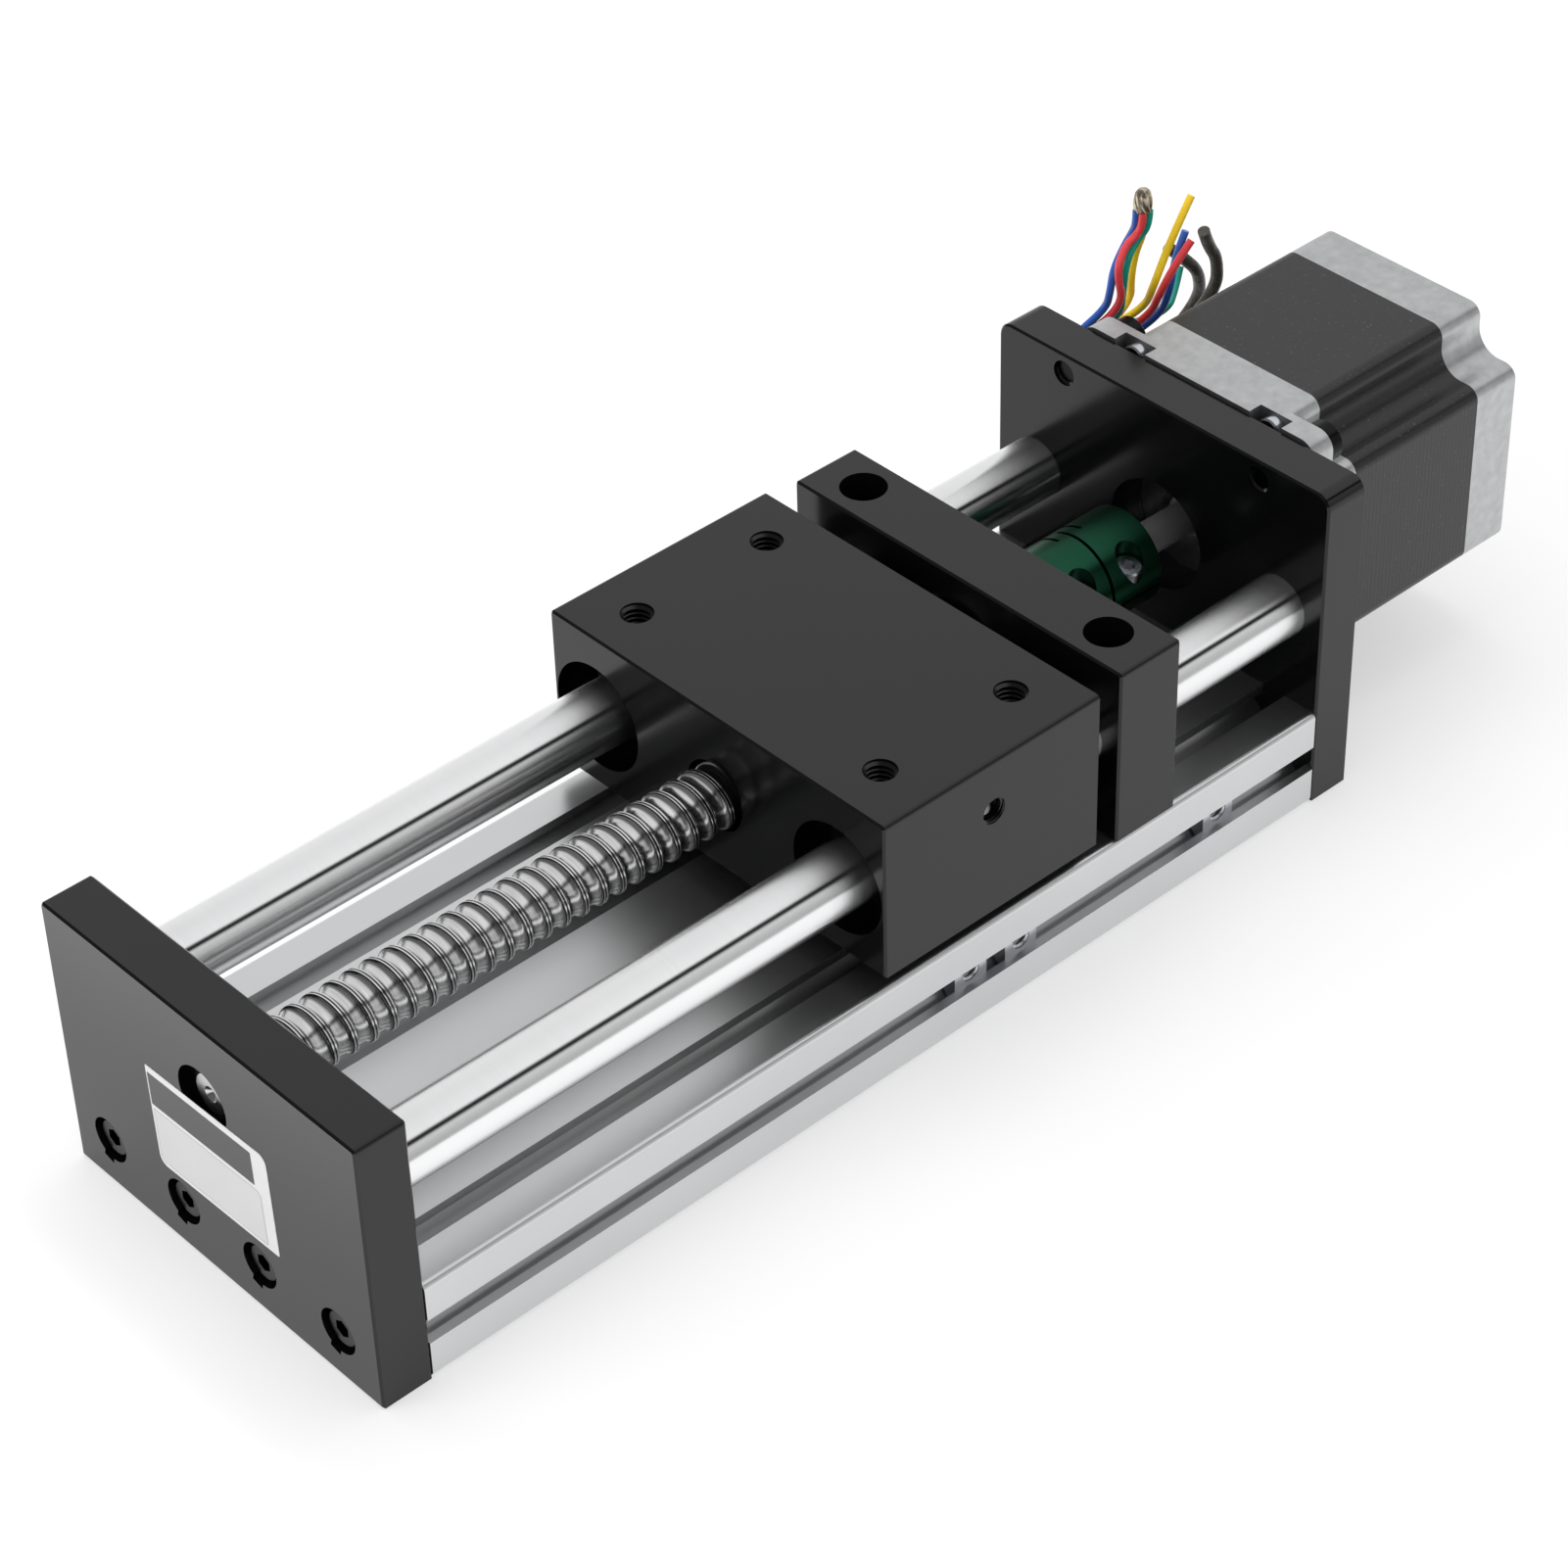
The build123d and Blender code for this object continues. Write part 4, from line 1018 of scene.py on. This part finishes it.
sticker_layers = (
    # name, left, right, bottom, top, corner radii, front, back, material; sizes in mm
    ("sticker_film", -15.6, 15.6, -10.45, 10.45, (1.8, 0.2, 1.8, 0.3), 0.10, 0.0, white_vinyl),
    ("sticker_band", -15.3, 11.6, 2.3, 9.1, (0.2, 0.2, 0.2, 0.2), 0.115, 0.09, grey_ink),
    ("sticker_border", -15.1, 12.9, -9.7, 1.5, (1.2, 0.3, 1.4, 0.3), 0.110, 0.09, line_ink),
    ("sticker_panel", -14.95, 12.75, -9.55, 1.35, (1.1, 0.2, 1.3, 0.2), 0.118, 0.09, panel_vinyl),
)
for layer in sticker_layers:
    sticker_layer(*layer)
print("sticker layers:", len(sticker_layers))

# %% [markdown]
# ## The motor's leads
#
# Eight stranded leads and two sleeved ones come out through the grommet on the motor's left
# side. Each is a smooth curve drawn by the points where the CAD model bends it, in metres from
# the grommet's outer face. The four left leads end together in a soldered tip: their bared
# strands are twisted up into one knobbly stub, with solder over it. It is built in rings round
# an upright axis, and each ring has seven lobes, one for each bundle of strands. The rings
# swell towards the middle and close in a crown, and the lobes wind a little as they rise.

# %% Soldered tip
tip_low, tip_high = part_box("soldered_tip")
tip_middle = (tip_low + tip_high) / 2
tip_radius = (tip_high.x - tip_low.x) / 2
bundles = 7
lump = random.Random(11)  # a fixed seed, so that the tip is the same each time
bundle_sizes = [lump.uniform(0.72, 1.0) for _ in range(bundles)]
foot, belly = 0.80, 0.20  # share of the radius at the foot, and what the middle adds
crown_start, crown_height = 0.72, 0.30  # shares of the tip's height
core, lobe_height = 0.70, 0.30  # shares of the radius
twist, waver = 1.3, 0.25  # in lobes, from the foot to the top
tip_rings, tip_steps = 28, 112
print("bundles in the tip:", bundles)

# %% Rings of the tip
tip_points = []
for ring in range(tip_rings + 1):
    rise = ring / tip_rings
    swell = foot + belly * math.sin(math.pi * min(1.0, 0.15 + rise))
    crown = math.sqrt(max(0.0, 1 - max(0.0, (rise - crown_start) / crown_height) ** 2))
    for step in range(tip_steps):
        turn = step / tip_steps
        wound = turn * bundles + twist * rise + waver * math.sin(5 * rise + 9 * turn)
        lobe = wound % bundles
        size = bundle_sizes[int(lobe)]
        bulge = math.sin(math.pi * (lobe % 1.0)) ** 0.5
        radius = tip_radius * swell * crown * (core + lobe_height * size * bulge)
        angle = 2 * math.pi * turn
        tip_points.append(
            (
                tip_middle.x + radius * math.cos(angle),
                tip_middle.y + radius * math.sin(angle),
                tip_low.z + rise * (tip_high.z - tip_low.z),
            )
        )
tip_faces = []
for ring in range(tip_rings):
    for step in range(tip_steps):
        after = (step + 1) % tip_steps
        first, second = ring * tip_steps, (ring + 1) * tip_steps
        tip_faces.append((first + step, first + after, second + after, second + step))
tip_faces.append(tuple(reversed(range(tip_steps))))
tip_faces.append(tuple(range(tip_rings * tip_steps, (tip_rings + 1) * tip_steps)))
twisted_tip = add_piece(
    "twisted_tip", tip_points, tip_faces, tinned_strands, "base", True
)
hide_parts("soldered_tip")
print("tip:", round((tip_high.z - tip_low.z) / MM, 1), "mm high")

# %% Leads
grommet_face = Vector((92.4 * MM, 29.2 * MM, 47.0 * MM))  # middle of its outer face
lead_thickness = 1.5 * MM
sleeve_thickness = 2.4 * MM
leads = {
    "blue_lead_left": (
        "lead_left_blue", blue_pvc, "lead_blue", lead_thickness, 41.29 * MM,
        [
            (-0.0017, 0.0000, 0.0030),
            (-0.0017, 0.0057, 0.0030),
            (0.0000, 0.0094, 0.0081),
            (0.0054, 0.0061, 0.0135),
            (0.0051, 0.0048, 0.0179),
            (0.0058, 0.0048, 0.0224),
            (0.0093, 0.0055, 0.0257),
            (0.0103, 0.0042, 0.0292),
            (0.0098, 0.0032, 0.0315),
            (0.0098, 0.0032, 0.0340),
        ],
    ),
    "red_lead_left": (
        "lead_left_red", red_pvc, "lead_red", lead_thickness, 43.81 * MM,
        [
            (-0.0017, 0.0000, 0.0013),
            (-0.0017, 0.0063, 0.0013),
            (0.0011, 0.0096, 0.0063),
            (0.0073, 0.0032, 0.0146),
            (0.0046, 0.0029, 0.0233),
            (0.0073, 0.0034, 0.0275),
            (0.0091, 0.0024, 0.0293),
            (0.0098, 0.0016, 0.0316),
            (0.0098, 0.0016, 0.0340),
        ],
    ),
    "green_lead_left": (
        "lead_left_green", green_pvc, "lead_green", lead_thickness, 42.68 * MM,
        [
            (0.0000, 0.0000, 0.0030),
            (0.0000, 0.0062, 0.0030),
            (0.0039, 0.0094, 0.0070),
            (0.0089, 0.0056, 0.0106),
            (0.0076, 0.0040, 0.0173),
            (0.0075, 0.0032, 0.0245),
            (0.0103, 0.0031, 0.0279),
            (0.0115, 0.0016, 0.0307),
            (0.0115, 0.0016, 0.0340),
        ],
    ),
    "yellow_lead_left": (
        "lead_left_yellow", yellow_pvc, "lead_yellow", lead_thickness, 46.62 * MM,
        [
            (0.0000, 0.0000, 0.0013),
            (0.0000, 0.0052, 0.0013),
            (0.0040, 0.0103, 0.0034),
            (0.0137, 0.0075, 0.0104),
            (0.0126, 0.0067, 0.0171),
            (0.0130, 0.0061, 0.0225),
            (0.0132, 0.0044, 0.0273),
            (0.0115, 0.0032, 0.0314),
            (0.0115, 0.0032, 0.0340),
        ],
    ),
    "yellow_lead_right": (
        "lead_right_yellow", yellow_pvc, "lead_yellow", lead_thickness, 46.05 * MM,
        [
            (0.0017, 0.0000, 0.0030),
            (0.0017, 0.0060, 0.0030),
            (0.0057, 0.0090, 0.0063),
            (0.0138, 0.0041, 0.0108),
            (0.0127, 0.0010, 0.0176),
            (0.0150, 0.0008, 0.0226),
            (0.0170, -0.0003, 0.0289),
            (0.0203, -0.0006, 0.0343),
        ],
    ),
    "red_lead_right": (
        "lead_right_red", red_pvc, "lead_red", lead_thickness, 38.96 * MM,
        [
            (0.0017, 0.0000, 0.0013),
            (0.0017, 0.0054, 0.0013),
            (0.0063, 0.0092, 0.0033),
            (0.0157, 0.0046, 0.0077),
            (0.0158, 0.0020, 0.0146),
            (0.0194, 0.0016, 0.0194),
            (0.0226, 0.0010, 0.0230),
        ],
    ),
    "blue_lead_right": (
        "lead_right_blue", blue_pvc, "lead_blue", lead_thickness, 42.44 * MM,
        [
            (0.0017, 0.0000, -0.0004),
            (0.0017, 0.0055, -0.0004),
            (0.0076, 0.0098, 0.0007),
            (0.0181, 0.0044, 0.0066),
            (0.0181, 0.0019, 0.0136),
            (0.0210, 0.0036, 0.0184),
            (0.0234, 0.0033, 0.0237),
        ],
    ),
    "green_lead_right": (
        "lead_right_green", green_pvc, "lead_green", lead_thickness, 38.93 * MM,
        [
            (0.0000, 0.0000, -0.0004),
            (0.0000, 0.0066, -0.0004),
            (0.0099, 0.0120, 0.0037),
            (0.0202, 0.0044, 0.0065),
            (0.0261, 0.0076, 0.0085),
            (0.0280, 0.0085, 0.0117),
        ],
    ),
    "long_sleeve": (
        "sleeve_long", shrink_sleeve, "lead_sleeve", sleeve_thickness, 59.24 * MM,
        [
            (0.0014, 0.0000, -0.0028),
            (0.0014, 0.0049, -0.0028),
            (0.0042, 0.0093, -0.0024),
            (0.0114, 0.0124, -0.0010),
            (0.0247, 0.0073, -0.0032),
            (0.0335, 0.0040, 0.0058),
            (0.0332, 0.0038, 0.0132),
            (0.0308, 0.0042, 0.0170),
            (0.0290, 0.0038, 0.0210),
        ],
    ),
    "short_sleeve": (
        "sleeve_short", shrink_sleeve, "lead_sleeve", sleeve_thickness, 69.54 * MM,
        [
            (-0.0014, 0.0000, -0.0028),
            (-0.0014, 0.0062, -0.0028),
            (0.0045, 0.0148, -0.0068),
            (0.0238, 0.0145, -0.0126),
            (0.0358, 0.0103, -0.0006),
            (0.0331, 0.0080, 0.0083),
            (0.0298, 0.0093, 0.0123),
            (0.0273, 0.0114, 0.0150),
        ],
    ),
}
for name, (node, coat, slot_name, thickness, length, points) in leads.items():
    curve = bpy.data.curves.new(name, "CURVE")
    curve.dimensions = "3D"
    curve.bevel_depth = thickness / 2
    curve.bevel_resolution = 5
    curve.resolution_u = 16
    curve.use_fill_caps = True
    spline = curve.splines.new("NURBS")
    spline.points.add(len(points) - 1)
    for point, place in zip(spline.points, points):
        point.co = (*(grommet_face + Vector(place)), 1.0)
    spline.order_u = 3
    spline.use_endpoint_u = True
    curve.materials.append(coat)
    lead_piece = bpy.data.objects.new(name, curve)
    bpy.context.scene.collection.objects.link(lead_piece)
    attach(lead_piece, "base")
    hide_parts(node)
print("leads:", len(leads))
